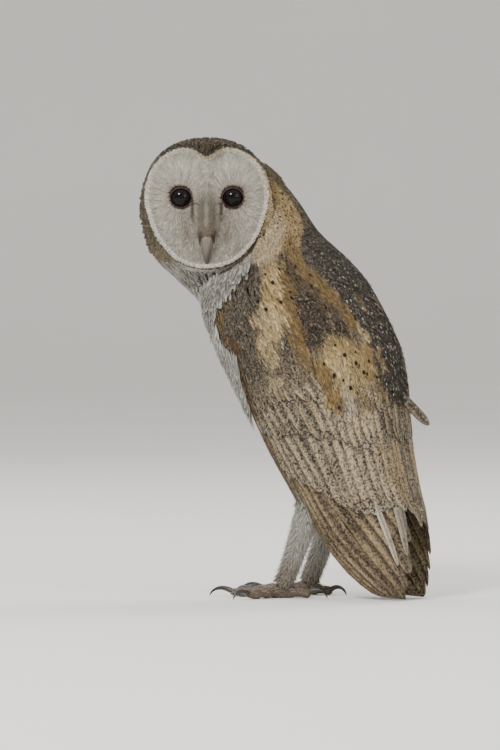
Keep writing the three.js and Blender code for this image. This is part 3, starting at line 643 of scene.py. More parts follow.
def disc_marks(right, up):
    """Coat of the facial disc: white, pinkish brown round the eyes, a dark streak from each inner corner down the
    edge of a grey-buff ridge, and a cream rim."""
    side = np.abs(right)
    eye = np.hypot(side - EYE_SIDE, up - EYE_UP)
    share = np.hypot(right, up) / disc_radius(np.arctan2(right, up))
    coat = mix(paint.face, paint.pink, 0.6 * bell(eye - EYE_SHOWN, 5.0))
    cheek = bell(side - 13, 8) * smooth(-up, 2, 10) * (1 - smooth(-up, 22, 34))
    coat = mix(coat, paint.cheek, 0.5 * cheek)
    half = through(((-27, 4.5), (-19, 6.4), (-8, 8.6), (2, 8.4), (9, 5.6), (20, 1.6)), up)
    ridge = (1 - smooth(side / half, 0.45, 1.2)) * smooth(-up, -19, 1) * (1 - smooth(-up, 23, 28))
    coat = mix(coat, mix(paint.ridge, paint.cheek, smooth(-up, 8, 18) * 0.7) * mix(1.0, 0.86, bell(right, 2.2) * smooth(up, 0, 8))[..., None], ridge * 0.95)
    coat = mix(coat, paint.face, bell(right, 1.6) * smooth(-up, -6, 4) * (1 - smooth(-up, 13, 18)) * 0.35)
    # painted shade: brown beside the base of the bill, where the bill meets the disc
    base = bell(side - 5.2, 2.2) * bell(up + 19.5, 3.2)
    coat = mix(coat, paint.brown, 0.6 * base)
    edge = (side - (half + 1.2)) / 1.25
    streak = bell(edge, 1) * (1 - smooth(up, 0, 5)) * mix(0.3, 1.0, smooth(up, -14, -5)) * smooth(up, -24, -15)
    coat = mix(coat, paint.face_brown, 0.9 * streak)
    coat = mix(coat, paint.face_brown, 0.6 * bell(eye - EYE_SHOWN, 0.6))
    lash = bell(np.hypot(side - EYE_SIDE - 6.0, up - EYE_UP - 5.0), 3.0)
    coat = mix(coat, paint.brown, 0.45 * lash)
    round_eye = np.arctan2(up - EYE_UP, side - EYE_SIDE)
    streaks = wobble(round_eye * 13, eye * 0.16, 1.5, 4) * smooth(eye, EYE_SHOWN, EYE_SHOWN + 5) * (1 - 0.6 * ridge)
    # painted shade: a band just inside the raised rim is darkened by up to 0.14; the streaks are the disc's own radial
    # lines
    coat = coat * ((1 - 0.14 * bell(share - 0.9, 0.055)) * (1 + 0.13 * streaks))[..., None]
    return mix(coat, paint.snow, 0.85 * smooth(share, 0.945, 0.99))


# ---------------------------------------------------------------- materials


class Wire:
    """A socket of a shader graph; sums and products of it add Math nodes."""

    def __init__(self, graph, socket):
        self.graph, self.socket = graph, socket

    def _math(self, operation, a, b):
        return self.graph.node("ShaderNodeMath", {"operation": operation}, {0: a, 1: b})

    def __add__(self, other):
        return self._math("ADD", self, other)

    def __sub__(self, other):
        return self._math("SUBTRACT", self, other)

    def __rsub__(self, other):
        return self._math("SUBTRACT", other, self)

    def __mul__(self, other):
        return self._math("MULTIPLY", self, other)

    __radd__, __rmul__ = __add__, __mul__

    def __pow__(self, other):
        return self._math("POWER", self, other)

    def above(self, low, high):
        """0 below low, 1 above high."""
        return self.graph.node("ShaderNodeMapRange", {"interpolation_type": "SMOOTHSTEP"}, {"Value": self, "From Min": low, "From Max": high})


class Graph:
    """A new material, and the one method that adds nodes to it."""

    def __init__(self, name):
        self.material = bpy.data.materials.new(name)
        self.material.use_nodes = True
        self.tree = self.material.node_tree
        self.shader = self.tree.nodes["Principled BSDF"]

    def node(self, kind, settings=None, values=None, out=0):
        made = self.tree.nodes.new(kind)
        for key, value in (settings or {}).items():
            if key == "stops":
                ramp = made.color_ramp
                while len(ramp.elements) < len(value):
                    ramp.elements.new(0.5)
                for element, (place, colour) in zip(ramp.elements, value):
                    element.position, element.color = place, (*colour, 1.0)
            else:
                setattr(made, key, value)
        for key, value in (values or {}).items():
            self.feed(made.inputs[key], value)
        return Wire(self, made.outputs[out])

    def feed(self, socket, value):
        if isinstance(value, Wire):
            self.tree.links.new(value.socket, socket)
        elif hasattr(value, "__len__") and len(value) == 3 and socket.type == "RGBA":
            socket.default_value = (*[float(v) for v in value], 1.0)
        else:
            socket.default_value = value

    def blend(self, share, a, b, mode="MIX"):
        return self.node("ShaderNodeMix", {"data_type": "RGBA", "blend_type": mode}, {0: share, 6: a, 7: b}, 2)

    def noise(self, where, scale, detail=2.0, rough=0.5):
        return self.node("ShaderNodeTexNoise", {}, {"Vector": where, "Scale": scale, "Detail": detail, "Roughness": rough})

    def attribute(self, name, out):
        return self.node("ShaderNodeAttribute", {"attribute_name": name}, {}, out)

    def place(self):
        return self.node("ShaderNodeTexCoord", {}, {}, 3)

    def stretch(self, where, scale):
        return self.node("ShaderNodeVectorMath", {"operation": "MULTIPLY"}, {0: where, 1: scale})

    def parts(self, where):
        made = self.tree.nodes.new("ShaderNodeSeparateXYZ")
        self.feed(made.inputs[0], where)
        return [Wire(self, o) for o in made.outputs]

    def bump(self, height, strength, distance):
        return self.node("ShaderNodeBump", {}, {"Strength": strength, "Distance": distance, "Height": height})

    def finish(self, **sockets):
        for name, value in sockets.items():
            self.feed(self.shader.inputs[name.replace("_", " ")], value)
        return self.material


def plumage_material(name, fleck_size, barb_pitch, roughness=0.82, barb_bump=0.35):
    """Feather: the coat colour of the mesh, peppered with dark and pale flecks, with fine barbs across the vane
    that change the tone and the surface a little."""
    g = Graph(name)
    coat = g.attribute("coat", 0)
    dark, pale, _ = g.parts(g.attribute("pepper", 1))
    across, down, chance = g.parts(g.attribute("barb", 1))
    where = g.place()
    grain = g.noise(where, 1000 / fleck_size, 3, 0.6)
    coat = g.blend(dark * 0.9, coat, g.blend(1.0, coat, (1.4, 1.4, 1.4), "MULTIPLY"))
    colour = g.blend(grain.above(0.49, 0.56) * dark, coat, g.blend(0.95, coat, paint.dark))
    frost = g.noise(g.stretch(where, (1.0, 1.0, 0.8)), 850 / fleck_size, 2, 0.55)
    colour = g.blend(frost.above(0.57, 0.63) * pale, colour, paint.pale_grey)
    slant = g.node("ShaderNodeCombineXYZ", {}, {0: across * 0.35, 1: (down + g.node("ShaderNodeMath", {"operation": "ABSOLUTE"}, {0: across}) * -0.8) * (1 / barb_pitch), 2: chance * 40})
    barbs = g.noise(slant, 1.0, 1.0, 0.5)
    tone = g.node("ShaderNodeMapRange", {}, {"Value": barbs, "From Min": 0.3, "From Max": 0.7, "To Min": 0.76, "To Max": 1.14})
    tone = tone * g.node("ShaderNodeMapRange", {}, {"Value": chance, "To Min": 0.88, "To Max": 1.1})
    colour = g.blend(1.0, colour, g.node("ShaderNodeCombineXYZ", {}, {0: tone, 1: tone, 2: tone}), "MULTIPLY")
    return g.finish(Base_Color=colour, Roughness=roughness, Specular_IOR_Level=0.25, Normal=g.bump(barbs, barb_bump, 0.0002))


def down_material(name):
    """Filaments and down: the mesh's own colour with a little change of tone between hairs and along them."""
    g = Graph(name)
    coat = g.attribute("coat", 0)
    dark, pale, _ = g.parts(g.attribute("pepper", 1))
    across, down, chance = g.parts(g.attribute("barb", 1))
    where = g.place()
    colour = g.blend(g.noise(where, 700, 2, 0.6).above(0.5, 0.6) * dark, coat, g.blend(0.8, coat, paint.dark))
    colour = g.blend(g.noise(where, 620, 2, 0.6).above(0.56, 0.64) * pale, colour, paint.pale_grey)
    tone = g.node("ShaderNodeMapRange", {}, {"Value": chance, "To Min": 0.84, "To Max": 1.1})
    colour = g.blend(1.0, colour, g.node("ShaderNodeCombineXYZ", {}, {0: tone, 1: tone, 2: tone}), "MULTIPLY")
    return g.finish(Base_Color=colour, Roughness=0.88, Specular_IOR_Level=0.2)


def horn_material(name, root, tip_colour, low, high, roughness):
    """Horn: fine growth lines down its length and a tip of another tone."""
    g = Graph(name)
    across, down, _ = g.parts(g.attribute("barb", 1))
    where = g.place()
    colour = g.blend(down.above(low, high), root, tip_colour)
    lines = g.noise(g.node("ShaderNodeCombineXYZ", {}, {0: across * 3.0, 1: down * 0.35, 2: 0.0}), 1.0, 3, 0.6)
    mottle = g.noise(where, 260, 3, 0.6)
    tone = g.node("ShaderNodeMapRange", {}, {"Value": lines * 0.6 + mottle * 0.4, "From Min": 0.3, "From Max": 0.7, "To Min": 0.82, "To Max": 1.12})
    colour = g.blend(1.0, colour, g.node("ShaderNodeCombineXYZ", {}, {0: tone, 1: tone, 2: tone}), "MULTIPLY")
    rough = g.node("ShaderNodeMapRange", {}, {"Value": mottle, "To Min": roughness - 0.06, "To Max": roughness + 0.12})
    return g.finish(Base_Color=colour, Roughness=rough, Normal=g.bump(lines, 0.25, 0.0002))


def toe_material(name):
    """Scaly toe: horny plates, darker in the furrows between them, with dust on top."""
    g = Graph(name)
    where = g.place()
    cells = g.node("ShaderNodeTexVoronoi", {"feature": "DISTANCE_TO_EDGE"}, {"Vector": where, "Scale": 900.0})
    plate = cells.above(0.02, 0.14)
    mottle = g.noise(where, 300, 3, 0.6)
    colour = g.blend(plate, hue(46, 37, 31), g.blend(mottle, hue(84, 70, 57), hue(116, 99, 80)))
    return g.finish(Base_Color=colour, Roughness=0.62, Normal=g.bump(plate * 0.7 + mottle * 0.3, 0.5, 0.0003))


def eye_material(name):
    """Wet black eye with a very dark brown iris round the pupil."""
    g = Graph(name)
    out, _, _ = g.parts(g.attribute("barb", 1))
    iris = out.above(0.40, 0.46) * (1 - out.above(0.74, 0.80))
    fibre = g.noise(g.place(), 900, 2, 0.5)
    colour = g.blend(iris * fibre, hue(7, 6, 6), hue(26, 19, 16))
    return g.finish(Base_Color=colour, Roughness=0.06, Specular_IOR_Level=0.32, IOR=1.36)


def plain_material(name, colour, roughness):
    g = Graph(name)
    mottle = g.noise(g.place(), 3.0, 3, 0.5)
    tone = g.blend(mottle, [c * 0.97 for c in colour], [min(c * 1.03, 1) for c in colour])
    return g.finish(Base_Color=tone, Roughness=roughness)


MATERIALS = {}


def material(name, maker, *values):
    """Each finish is made once and shared by the pieces that carry it."""
    if name not in MATERIALS:
        MATERIALS[name] = maker(name, *values)
    return MATERIALS[name]


def plumage():
    return material("plumage", plumage_material, 1.45, 0.5)


def down():
    return material("down", down_material)


# ---------------------------------------------------------------- the pieces

HANDS = {"left": 1, "right": -1}
COAT_DEPTH = 3.2


def clear_of_head(points, reach=0.0):
    """True where a point lies neither in the head nor in the clear space ahead of the disc."""
    right, up, forward = head_place(points)
    angle = np.arctan2(right, up)
    rho = np.hypot(right, up)
    rim = disc_forward(disc_radius(angle) * np.sin(angle), disc_radius(angle) * np.cos(angle))
    ahead = (forward > rim - 4) & (rho < disc_radius(angle) * (1.0 + 0.004 * np.maximum(forward - rim, 0)) + reach)
    egg = np.sqrt(np.clip(1 - (np.minimum(forward - HEAD_WIDEST, 0) / HEAD_BACK) ** 2, 0, 1)) ** 0.9
    inside = (forward <= rim - 4) & (rho < head_radius(angle) * egg - 3)
    return ~(ahead | inside)


def along_lie(place, root, length, turn=0.0):
    """Tips that lie a length in mm from their roots, down the first number and turned towards the second."""
    da, db = metric_steps(place, root[:, 0], root[:, 1])
    ma, mb = np.linalg.norm(da, axis=-1) + 1e-6, np.linalg.norm(db, axis=-1) + 1e-6
    return root + np.stack([length * np.cos(turn) / ma, length * np.sin(turn) / mb], 1)


def flat_colour(colour, pepper=(0, 0, 0)):
    return lambda s, t, root, tip, rng: (np.broadcast_to(colour, s.shape + (3,)), np.broadcast_to(pepper, s.shape + (3,)))


def head_colour(s, t, root, tip, rng):
    coat, pepper = head_marks(on_head(root[:, :1], root[:, 1:], 0.0))
    tone = rng.uniform(0.7, 1.25, (len(root), 1, 1))
    # painted shade at each feather's root, under the feathers that lie over it, and painted light at its tip
    shade = mix(0.8, 1.15, smooth(s, 0.2, 0.9))[..., None]
    return coat * tone * shade, np.broadcast_to(pepper, s.shape + (3,))


def build_head():
    coat = Plumage()
    low, high = (0.35, -math.pi), (3.1, math.pi)

    def keep(root):
        right, up, forward = head_place(on_head(root[:, 0], root[:, 1], 0.0))
        angle = np.arctan2(right, up)
        rim = disc_forward(disc_radius(angle) * np.sin(angle), disc_radius(angle) * np.cos(angle))
        return (forward < rim - 1.5) & (np.hypot(right, up) > 0)

    root = scatter(on_head, low, high, 2.1, 3)
    root = root[keep(root)]
    rng = np.random.default_rng(11)
    n = len(root)
    length = rng.uniform(6.5, 9.5, n)
    tip = along_lie(on_head, root, length, rng.normal(0, 0.12, n))
    coat.add(on_head, SMALL_VANE, root, tip, rng.uniform(1.5, 2.1, n), (2.6, -0.3), head_colour, (low, high), thick=0.8, seed=12)
    root = scatter(on_head, low, high, 1.9, 8)
    root = root[keep(root)]
    n = len(root)
    tip = along_lie(on_head, root, rng.uniform(5, 8, n), rng.normal(0, 0.2, n))
    coat.add(on_head, FILAMENT, root, tip, rng.uniform(0.4, 0.7, n), (0.9, -1.0), head_colour, (low, high), thick=0.5, seed=13)
    return [coat.piece("head_coat", "crown", plumage())]


def build_disc():
    made = []
    for side, hand in HANDS.items():
        coat = Plumage()
        low, high = (-46.0, -50.0), (46.0, 50.0)
        rng = np.random.default_rng(20 + hand)
        u, v = golden(27000, 5 + hand, 2)
        root = np.stack([low[0] + u * 92, low[1] + v * 100], 1)
        root = root[root[:, 0] * hand >= -0.6]
        away = np.stack([root[:, 0] - hand * EYE_SIDE, root[:, 1] - EYE_UP], 1)
        share = np.hypot(*root.T) / disc_radius(np.arctan2(*root.T))
        keep = (np.hypot(*away.T) > EYE_SHOWN + 0.3) & (share < 0.97) & (np.abs(root[:, 0]) >= through(BILL_SHOWN, root[:, 1]))
        root, away = root[keep], away[keep]
        eye = np.hypot(*away.T)
        away = away / eye[:, None]
        crest = bell(root[:, 0], 7.5) * smooth(-root[:, 1], -34, -14)
        down_ridge = np.stack([0.3 * np.sign(root[:, 0]) * smooth(np.abs(root[:, 0]), 0.5, 5), -np.ones(len(root))], 1)
        inner = np.clip(-away[:, 0] * hand, 0, 1) ** 2
        away = away + np.stack([0 * inner, np.where(root[:, 1] > EYE_UP - 4, 0.9, -0.7) * inner], 1)
        lie = away * (1 - crest[:, None]) + down_ridge * crest[:, None] * 1.2
        lie /= np.linalg.norm(lie, axis=1, keepdims=True)
        turn = rng.normal(0, 0.07, len(root))
        lie = np.stack([lie[:, 0] * np.cos(turn) - lie[:, 1] * np.sin(turn), lie[:, 0] * np.sin(turn) + lie[:, 1] * np.cos(turn)], 1)
        length = rng.uniform(4.5, 9.0, len(root)) * mix(1, 0.5, crest) * mix(0.45, 1, smooth(eye, 7, 17))
        tip = root + lie * length[:, None]
        share = np.hypot(*tip.T) / disc_radius(np.arctan2(*tip.T))
        tip = np.where((share > 0.985)[:, None], tip / (np.maximum(share, 0.985) / 0.985)[:, None], tip)

        clear = np.abs(tip[:, 0]) >= through(BILL_SHOWN, tip[:, 1]) - 0.5
        root, tip = root[clear], tip[clear]

        def colour(s, t, r, p, rng):
            right = r[:, :1] + (p[:, :1] - r[:, :1]) * s
            up = r[:, 1:] + (p[:, 1:] - r[:, 1:]) * s
            tone = np.clip(rng.normal(0.98, 0.13, (len(r), 1, 1)), 0.62, 1.2)
            # painted shade at each filament's root, under the ones that lie over it, and painted light at its tip
            return disc_marks(right, up) * tone * mix(0.86, 1.1, s)[..., None], np.zeros(s.shape + (3,))

        coat.add(on_disc, FILAMENT, root, tip, rng.uniform(0.18, 0.36, len(root)), (0.6, -0.3), colour, (low, high), rise=rng.uniform(0, 0.45, len(root)) ** 1.3, thick=0.3, seed=21)
        lash = np.radians(rng.uniform(0, 360, 150))
        near = np.stack([np.cos(lash), np.sin(lash)], 1)
        start = np.array((hand * EYE_SIDE, EYE_UP)) + near * (EYE_SHOWN + 0.1)
        reach = rng.uniform(1.6, 3.4, 150) * mix(0.7, 1.3, smooth(near[:, 0] * hand, 0.2, 0.9) * smooth(near[:, 1], 0.1, 0.8))
        coat.add(on_disc, FILAMENT, start, start + near * reach[:, None], 0.14, (0.2, -0.75), flat_colour(paint.face_brown), (low, high), thick=0.2, seed=22)
        made.append(coat.piece(f"disc_coat_{side}", "face", down()))
    return made


def build_bristles():
    """Stiff bristles that hang from the ridge over the bill's base, longest at its sides."""
    coat = Plumage()
    low, high = (-8.0, -32.0), (8.0, -10.0)

    def over_bill(right, up, depth):
        low_down = smooth(-up, 13, 20)
        flat = mix(1, mix(0.5, 1, smooth(np.abs(right), 3.6, 7.5)), low_down)
        return head_point(right, up, disc_forward(right * flat, up) + 0.3 * low_down - depth)

    u, v = golden(900, 7)
    root = np.stack([-6.2 + 12.4 * u, -9 - 11 * v], 1)
    rng = np.random.default_rng(27)
    outward_ = np.abs(root[:, 0]) / 6.2
    length = mix(3.0, 8.5, outward_**1.5) * rng.uniform(0.7, 1.2, 900)
    tip = root + np.stack([np.sign(root[:, 0]) * 0.5 * outward_ - 0.25 * root[:, 0] * outward_**2, -length], 1)

    def colour(s, t, r, p, rng):
        up = r[:, 1:] + (p[:, 1:] - r[:, 1:]) * s
        side = smooth(np.abs(r[:, :1]), 1.5, 4.5)
        # painted shade: the bristles turn brown at the sides low down, over the bill's shaded sides
        coat_ = mix(mix(paint.ridge, paint.cheek, 0.7 * smooth(-up, 15, 21)), paint.brown, 0.75 * side * smooth(-up, 16, 22))
        return coat_ * rng.uniform(0.75, 1.15, (len(r), 1, 1)), np.zeros(s.shape + (3,))

    coat.add(over_bill, FILAMENT, root, tip, rng.uniform(0.16, 0.26, 900), (0.9, -0.1), colour, (low, high), rise=rng.uniform(0, 0.3, 900), thick=0.3, seed=28)
    return [coat.piece("bill_bristles", "face", down())]


# Half width of the bill that shows between the bristles, by height on the disc.
BILL_SHOWN = ((-42.5, -1), (-41, 0.3), (-38, 1.4), (-32, 3.0), (-27, 4.0), (-25, 3.7), (-22.5, 1.6), (-20.5, -0.2), (-19, -1), (0, -1))
RUFF = ((-180, 3), (-150, 4.5), (-129, 9.5), (-118, 8), (-108, 7), (-99, 6.4), (-89, 5.6), (-75, 3.8), (-60, 3.2), (-40, 3.6), (0, 3.8), (40, 3.6), (60, 3.0), (75, 3), (90, 4.5), (105, 6), (120, 7), (135, 7), (150, 5), (180, 3))


def rim_place(right, up, depth):
    """The disc's own surface, lifted a little along the rim; past it the surface leans out and back."""
    angle, rho = np.arctan2(right, up), np.maximum(np.hypot(right, up), 1e-6)
    edge = disc_radius(angle)
    beyond = np.maximum(rho - edge, 0)
    k = np.minimum(1, edge / rho)
    base = disc_forward(right * k, up * k) + 0.7 * bell(rho - edge, 2.2)
    lean = smooth(beyond, 0, 2.5)
    out = -depth * lean * 0.7
    return head_point(right * (1 + out / rho), up * (1 + out / rho), base - 0.35 * beyond - 0.06 * beyond**2 - depth * (1 - 0.5 * lean))


def build_rim():
    """The ruff: fine bright feathers that stand up as the disc's rim, a dark line outside them, and wider feathers
    behind that close the step down to the neck."""
    coat = Plumage()
    low, high = (-60.0, -60.0), (60.0, 60.0)
    rng = np.random.default_rng(31)

    def row(count, start, end, half, depth, colour, jitter, rise, seed, lean=0.0):
        turn = (np.arange(count) + rng.uniform(-0.3, 0.3, count)) / count * 2 * math.pi - math.pi
        edge, way = disc_radius(turn), np.stack([np.sin(turn), np.cos(turn)], 1)
        root = way * (edge + start(turn) + rng.normal(0, jitter, count))[:, None]
        tip = way * (edge + end(turn) + rng.normal(0, jitter, count))[:, None]
        tip[:, 1] -= lean * np.linalg.norm(tip - root, axis=1) * np.abs(way[:, 0])
        coat.add(rim_place, SMALL_VANE, root, tip, half, depth, colour, (low, high), rise=rise, thick=0.4, seed=seed)

    def turned(r):
        return np.degrees(np.arctan2(r[:, :1], r[:, 1:]))

    def inner(s, t, r, p, rng):
        tone = rng.uniform(0.74, 1.2, (len(r), 1, 1))
        turn = np.abs(turned(r))
        tan = np.maximum(bell(turn, 36), 0.15 + 0.35 * (r[:, :1] > 0))
        bright = mix(mix(paint.face, paint.snow * 1.2, smooth(s, 0.1, 0.5)), mix(paint.cream, paint.gold, 0.3), tan * smooth(s, 0.2, 0.8) * 0.8)
        dark = smooth(s, 0.84, 0.97) * np.maximum(smooth(turn, 96, 130), 0.9 * bell(turn, 12)) * rng.uniform(0.2, 1, (len(r), 1))
        return mix(bright, paint.rim_dark, dark) * tone, np.zeros(s.shape + (3,))

    def line(s, t, r, p, rng):
        turn = turned(r)
        dark = np.maximum(smooth(np.abs(turn), 84, 112), 0.8 * bell(turn, 16)) * rng.uniform(0.55, 1, (len(r), 1))
        pale = mix(mix(paint.cream, paint.gold, 0.35), paint.crown, 0.4 * (turn < 0) + 0.3)
        return mix(pale, paint.rim_dark, dark + 0 * s), np.broadcast_to((0.2, 0.0, 0.0), s.shape + (3,))

    def outer(s, t, r, p, rng):
        tone = rng.uniform(0.62, 1.25, (len(r), 1, 1))
        turn = turned(r)
        left, high_ = (1 - smooth(turn, -50, -20)) * smooth(turn, -172, -150), 1 - smooth(np.abs(turn), 40, 75)
        below = smooth(np.abs(turn), 140, 165)
        base = mix(paint.cream, paint.crown, np.maximum(high_, left * 0.85))
        base = mix(base, paint.white, below)
        base = mix(base, mix(paint.buff, paint.grey_brown, 0.5), bell(turn + 136, 13) * smooth(s, 0.3, 0.8) * 0.5)
        fleck = np.clip(0.7 * np.maximum(left, high_) + 0.1, 0, 1)
        # painted shade at each feather's root, under the ones that lie over it, and painted light at its tip
        return base * mix(0.75, 1.1, s)[..., None] * tone, np.stack([fleck + 0 * s, 0.5 * fleck + 0 * s, 0 * s], -1)

    width = lambda turn: through(RUFF, np.degrees(turn))
    for k, (share, count) in enumerate(((1.0, 330), (0.8, 330), (0.6, 340), (0.38, 360), (0.15, 380))):
        row(count, lambda turn: width(turn) * (share - 0.75) - 2.5, lambda turn: width(turn) * share, 1.25, (2.6 - 0.2 * k, 0.9 - 0.2 * k), outer, 0.4, 0.2, 40 + k, lean=0.35)
    row(560, lambda turn: -1.5 + 0 * turn, lambda turn: 1.0 + 0 * turn, 0.8, (0.9, -0.3), line, 0.15, 0.1, 33)
    row(560, lambda turn: -3.4 + 0 * turn, lambda turn: 0.0 + 0 * turn, 0.5, (0.5, -0.6), inner, 0.45, 0.5, 34)
    row(600, lambda turn: -2.3 + 0 * turn, lambda turn: 0.4 + 0 * turn, 0.4, (0.3, -0.9), inner, 0.35, 0.6, 35)
    return [coat.piece("disc_rim", "face", down())]


def on_cloak(along, angle, depth):
    return section(CLOAK, along, angle, depth)


def on_body(along, angle, depth):
    return laid(section(BODY, along, angle, depth))


def vane_colour(marks, light=1.06, dark=0.84, edge=0.0):
    """Coat colour at the middle of the feather, with painted shade at the hidden root and painted light towards the
    tip, and a little lighter at the edge.
    """

    def colour(s, t, root, tip, rng):
        seen = root + 0.55 * (tip - root)
        coat, pepper = marks(seen[:, :1], seen[:, 1:])
        tone = np.clip(rng.normal(1.0, 0.22, (len(root), 1, 1)), 0.55, 1.5)
        # painted shade at the feather's root, which lies under the feathers above it, and painted light at its tip
        shade = mix(dark, light, smooth(s, 0.15, 0.95)) + edge * np.abs(t) ** 3
        return coat * tone * shade[..., None], np.broadcast_to(pepper, s.shape + (3,))

    return colour


def build_cloak():
    """Neck sides, nape, mantle and scapulars."""
    made = []
    low, high = (-62.0, math.radians(-50)), (150.0, math.radians(230))
    rng = np.random.default_rng(41)

    def keep(root, lowest):
        degrees = np.degrees(np.arctan2(np.sin(root[:, 1]), np.abs(np.cos(root[:, 1]))))
        border = through(((-62, -8), (-20, -8), (-5, -4), (8, 2), (16, 30), (40, 36), (68, 25), (88, 16), (112, 17), (124, 24), (134, 44), (150, 78)), root[:, 0])
        return (degrees > border - lowest) & clear_of_head(on_cloak(root[:, 0], root[:, 1], 0.0), 1.0)

    nape, mantle = Plumage(), Plumage()
    root = scatter(on_cloak, low, (14.0, high[1]), 1.75, 4)
    root = root[keep(root, 0)]
    n = len(root)
    tip = along_lie(on_cloak, root, rng.uniform(8, 11, n), rng.normal(0, 0.12, n))
    nape.add(on_cloak, SMALL_VANE, root, tip, rng.uniform(1.2, 1.8, n), (3.4, 0.2), vane_colour(marks_at), (low, high), thick=0.8, seed=42)
    root = scatter(on_cloak, low, (14.0, high[1]), 1.35, 6)
    root = root[keep(root, 0)]
    n = len(root)
    tip = along_lie(on_cloak, root, rng.uniform(5, 8, n), rng.normal(0, 0.16, n))
    nape.add(on_cloak, FILAMENT, root, tip, rng.uniform(0.35, 0.6, n), (0.8, -0.35), vane_colour(marks_at), (low, high), thick=0.5, seed=43)
    made.append(nape.piece("neck_coat", "mantle", down()))

    root = scatter(on_cloak, (2.0, low[1]), (122.0, high[1]), 3.1, 9)
    root = root[keep(root, 0)]
    root = root[np.argsort(-root[:, 0])]
    n = len(root)
    size = mix(0.7, 1.25, smooth(root[:, 0], 0, 70))
    degrees = np.degrees(root[:, 1])
    inward = np.where(degrees > 90, 1, -1) * 0.12 * smooth(root[:, 0], 20, 90)
    tip = along_lie(on_cloak, root, rng.uniform(12, 18, n) * size, inward + rng.normal(0, 0.09, n))
    mantle.add(on_cloak, SOFT_VANE, root, tip, rng.uniform(2.0, 2.9, n) * size, (3.0, 0.1), vane_colour(marks_at), (low, high), rise=rng.uniform(0, 0.3, n) + 2.4 * (rng.random(n) < 0.12) * smooth(degrees, 58, 75) * (1 - smooth(degrees, 105, 122)), thick=0.35, tilt=rng.normal(0, 0.1, n), seed=44)
    root = scatter(on_cloak, (6.0, low[1]), (134.0, high[1]), 1.3, 12)
    root = root[keep(root, 0)]
    n = len(root)
    tip = along_lie(on_cloak, root, rng.uniform(5, 10, n), rng.normal(0, 0.13, n))
    mantle.add(on_cloak, FILAMENT, root, tip, rng.uniform(0.3, 0.5, n), (0.2, -0.6), vane_colour(marks_at), (low, high), rise=rng.uniform(0, 0.4, n), thick=0.25, seed=45)
    made.append(mantle.piece("mantle_coat", "mantle", plumage()))
    return made


def breast_marks(along, angle):
    degrees = np.degrees(np.arctan2(np.sin(angle), np.abs(np.cos(angle))))
    wave = wobble(along, degrees, 11, 8)
    coat = mix(paint.white, paint.snow, smooth(wave, -0.5, 1))
    coat = mix(coat, paint.cream, (1 - smooth(along, -20, 10)) * smooth(degrees, -10, 20) * 0.7)
    pepper = np.stack([0 * along, 0 * along, 0 * along], -1)
    return coat, pepper


def build_nape():
    """The top of the neck, which the head's coat runs on to."""
    coat = Plumage()
    low, high = (-82.0, -math.pi), (-50.0, math.pi)
    rng = np.random.default_rng(49)
    for shape, spacing, long_, half, depth, seed in ((SMALL_VANE, 1.9, (7, 10), (1.3, 1.9), (3.2, -0.2), 47), (FILAMENT, 1.5, (5, 8), (0.35, 0.6), (0.9, -0.7), 48)):
        root = scatter(on_body, low, high, spacing, seed)
        root = root[clear_of_head(on_body(root[:, 0], root[:, 1], 0.0), 0.5)]
        n = len(root)
        tip = along_lie(on_body, root, rng.uniform(*long_, n), rng.normal(0, 0.14, n))

        def colour(s, t, r, p, rng):
            marks = skin_marks(on_body(*(r + 0.6 * (p - r)).T, 0.0))[:, None]
            # painted shade at each feather's root, under the ones that lie over it, and painted light at its tip
            return marks * rng.uniform(0.85, 1.2, (len(r), 1, 1)) * mix(0.85, 1.1, s)[..., None], np.zeros(s.shape + (3,))

        coat.add(on_body, shape, root, tip, rng.uniform(*half, n), depth, colour, (low, high), thick=0.6, seed=seed)
    return [coat.piece("nape_coat", "mantle", down())]


def build_breast():
    made = []
    low, high = (-62.0, math.radians(-240)), (184.0, math.radians(60))
    rng = np.random.default_rng(51)
    for name, start, end, gap, seed in (("breast_coat", -60.0, 62.0, 1.7, 14), ("belly_coat", 52.0, 178.0, 2.1, 17)):
        coat = Plumage()
        for layer, (spacing, shape, long_, half, depth, thick) in enumerate(
            ((gap * 1.25, SMALL_VANE, (11, 15), (1.6, 2.3), (4.2, 0.3), 0.9), (gap, FILAMENT, (7, 11), (0.4, 0.75), (1.2, -0.5), 0.5))
        ):
            root = scatter(on_body, (start, low[1]), (end, high[1]), spacing, seed + layer)
            degrees = np.degrees(np.arctan2(np.sin(root[:, 1]), np.abs(np.cos(root[:, 1]))))
            top = through(((-60, 60), (-8, 30), (4, 10), (14, -20), (40, -24), (70, -26), (130, -10), (150, 40), (184, 60)), root[:, 0])
            root = root[(degrees < top) & clear_of_head(on_body(root[:, 0], root[:, 1], 0.0), 1.5)]
            n = len(root)
            tip = along_lie(on_body, root, rng.uniform(*long_, n), rng.normal(0, 0.14, n))
            # painted shade: the breast's feathers run about an eighth darker than vane_colour's defaults, 0.74 to 0.95,
            # all over the breast
            coat.add(on_body, shape, root, tip, rng.uniform(*half, n), depth, vane_colour(breast_marks, 0.95, 0.74), (low, high), thick=thick, seed=seed + 30 + layer)
        made.append(coat.piece(name, "breast", down()))
    return made


def wing_angle(along, across):
    return np.radians(mix(through(WING_LEAD, along), through(WING_TRAIL, along), across))


def wing_marks(along, across):
    return upper_marks(along, np.degrees(wing_angle(along, across)))


# The wing's front edge as shares across it: ahead of this the breast's feathers hang over the wing.
WRIST = ((0, 0.6), (8, 0.5), (13, 0.40), (18, 0.25), (24, 0.18), (31, 0.12), (38, 0.11), (46, 0.15), (52, 0.2), (57, 0.22), (63, 0.17), (68, 0.14), (79, 0.1), (91, 0.06), (105, 0.02), (120, -0.03))


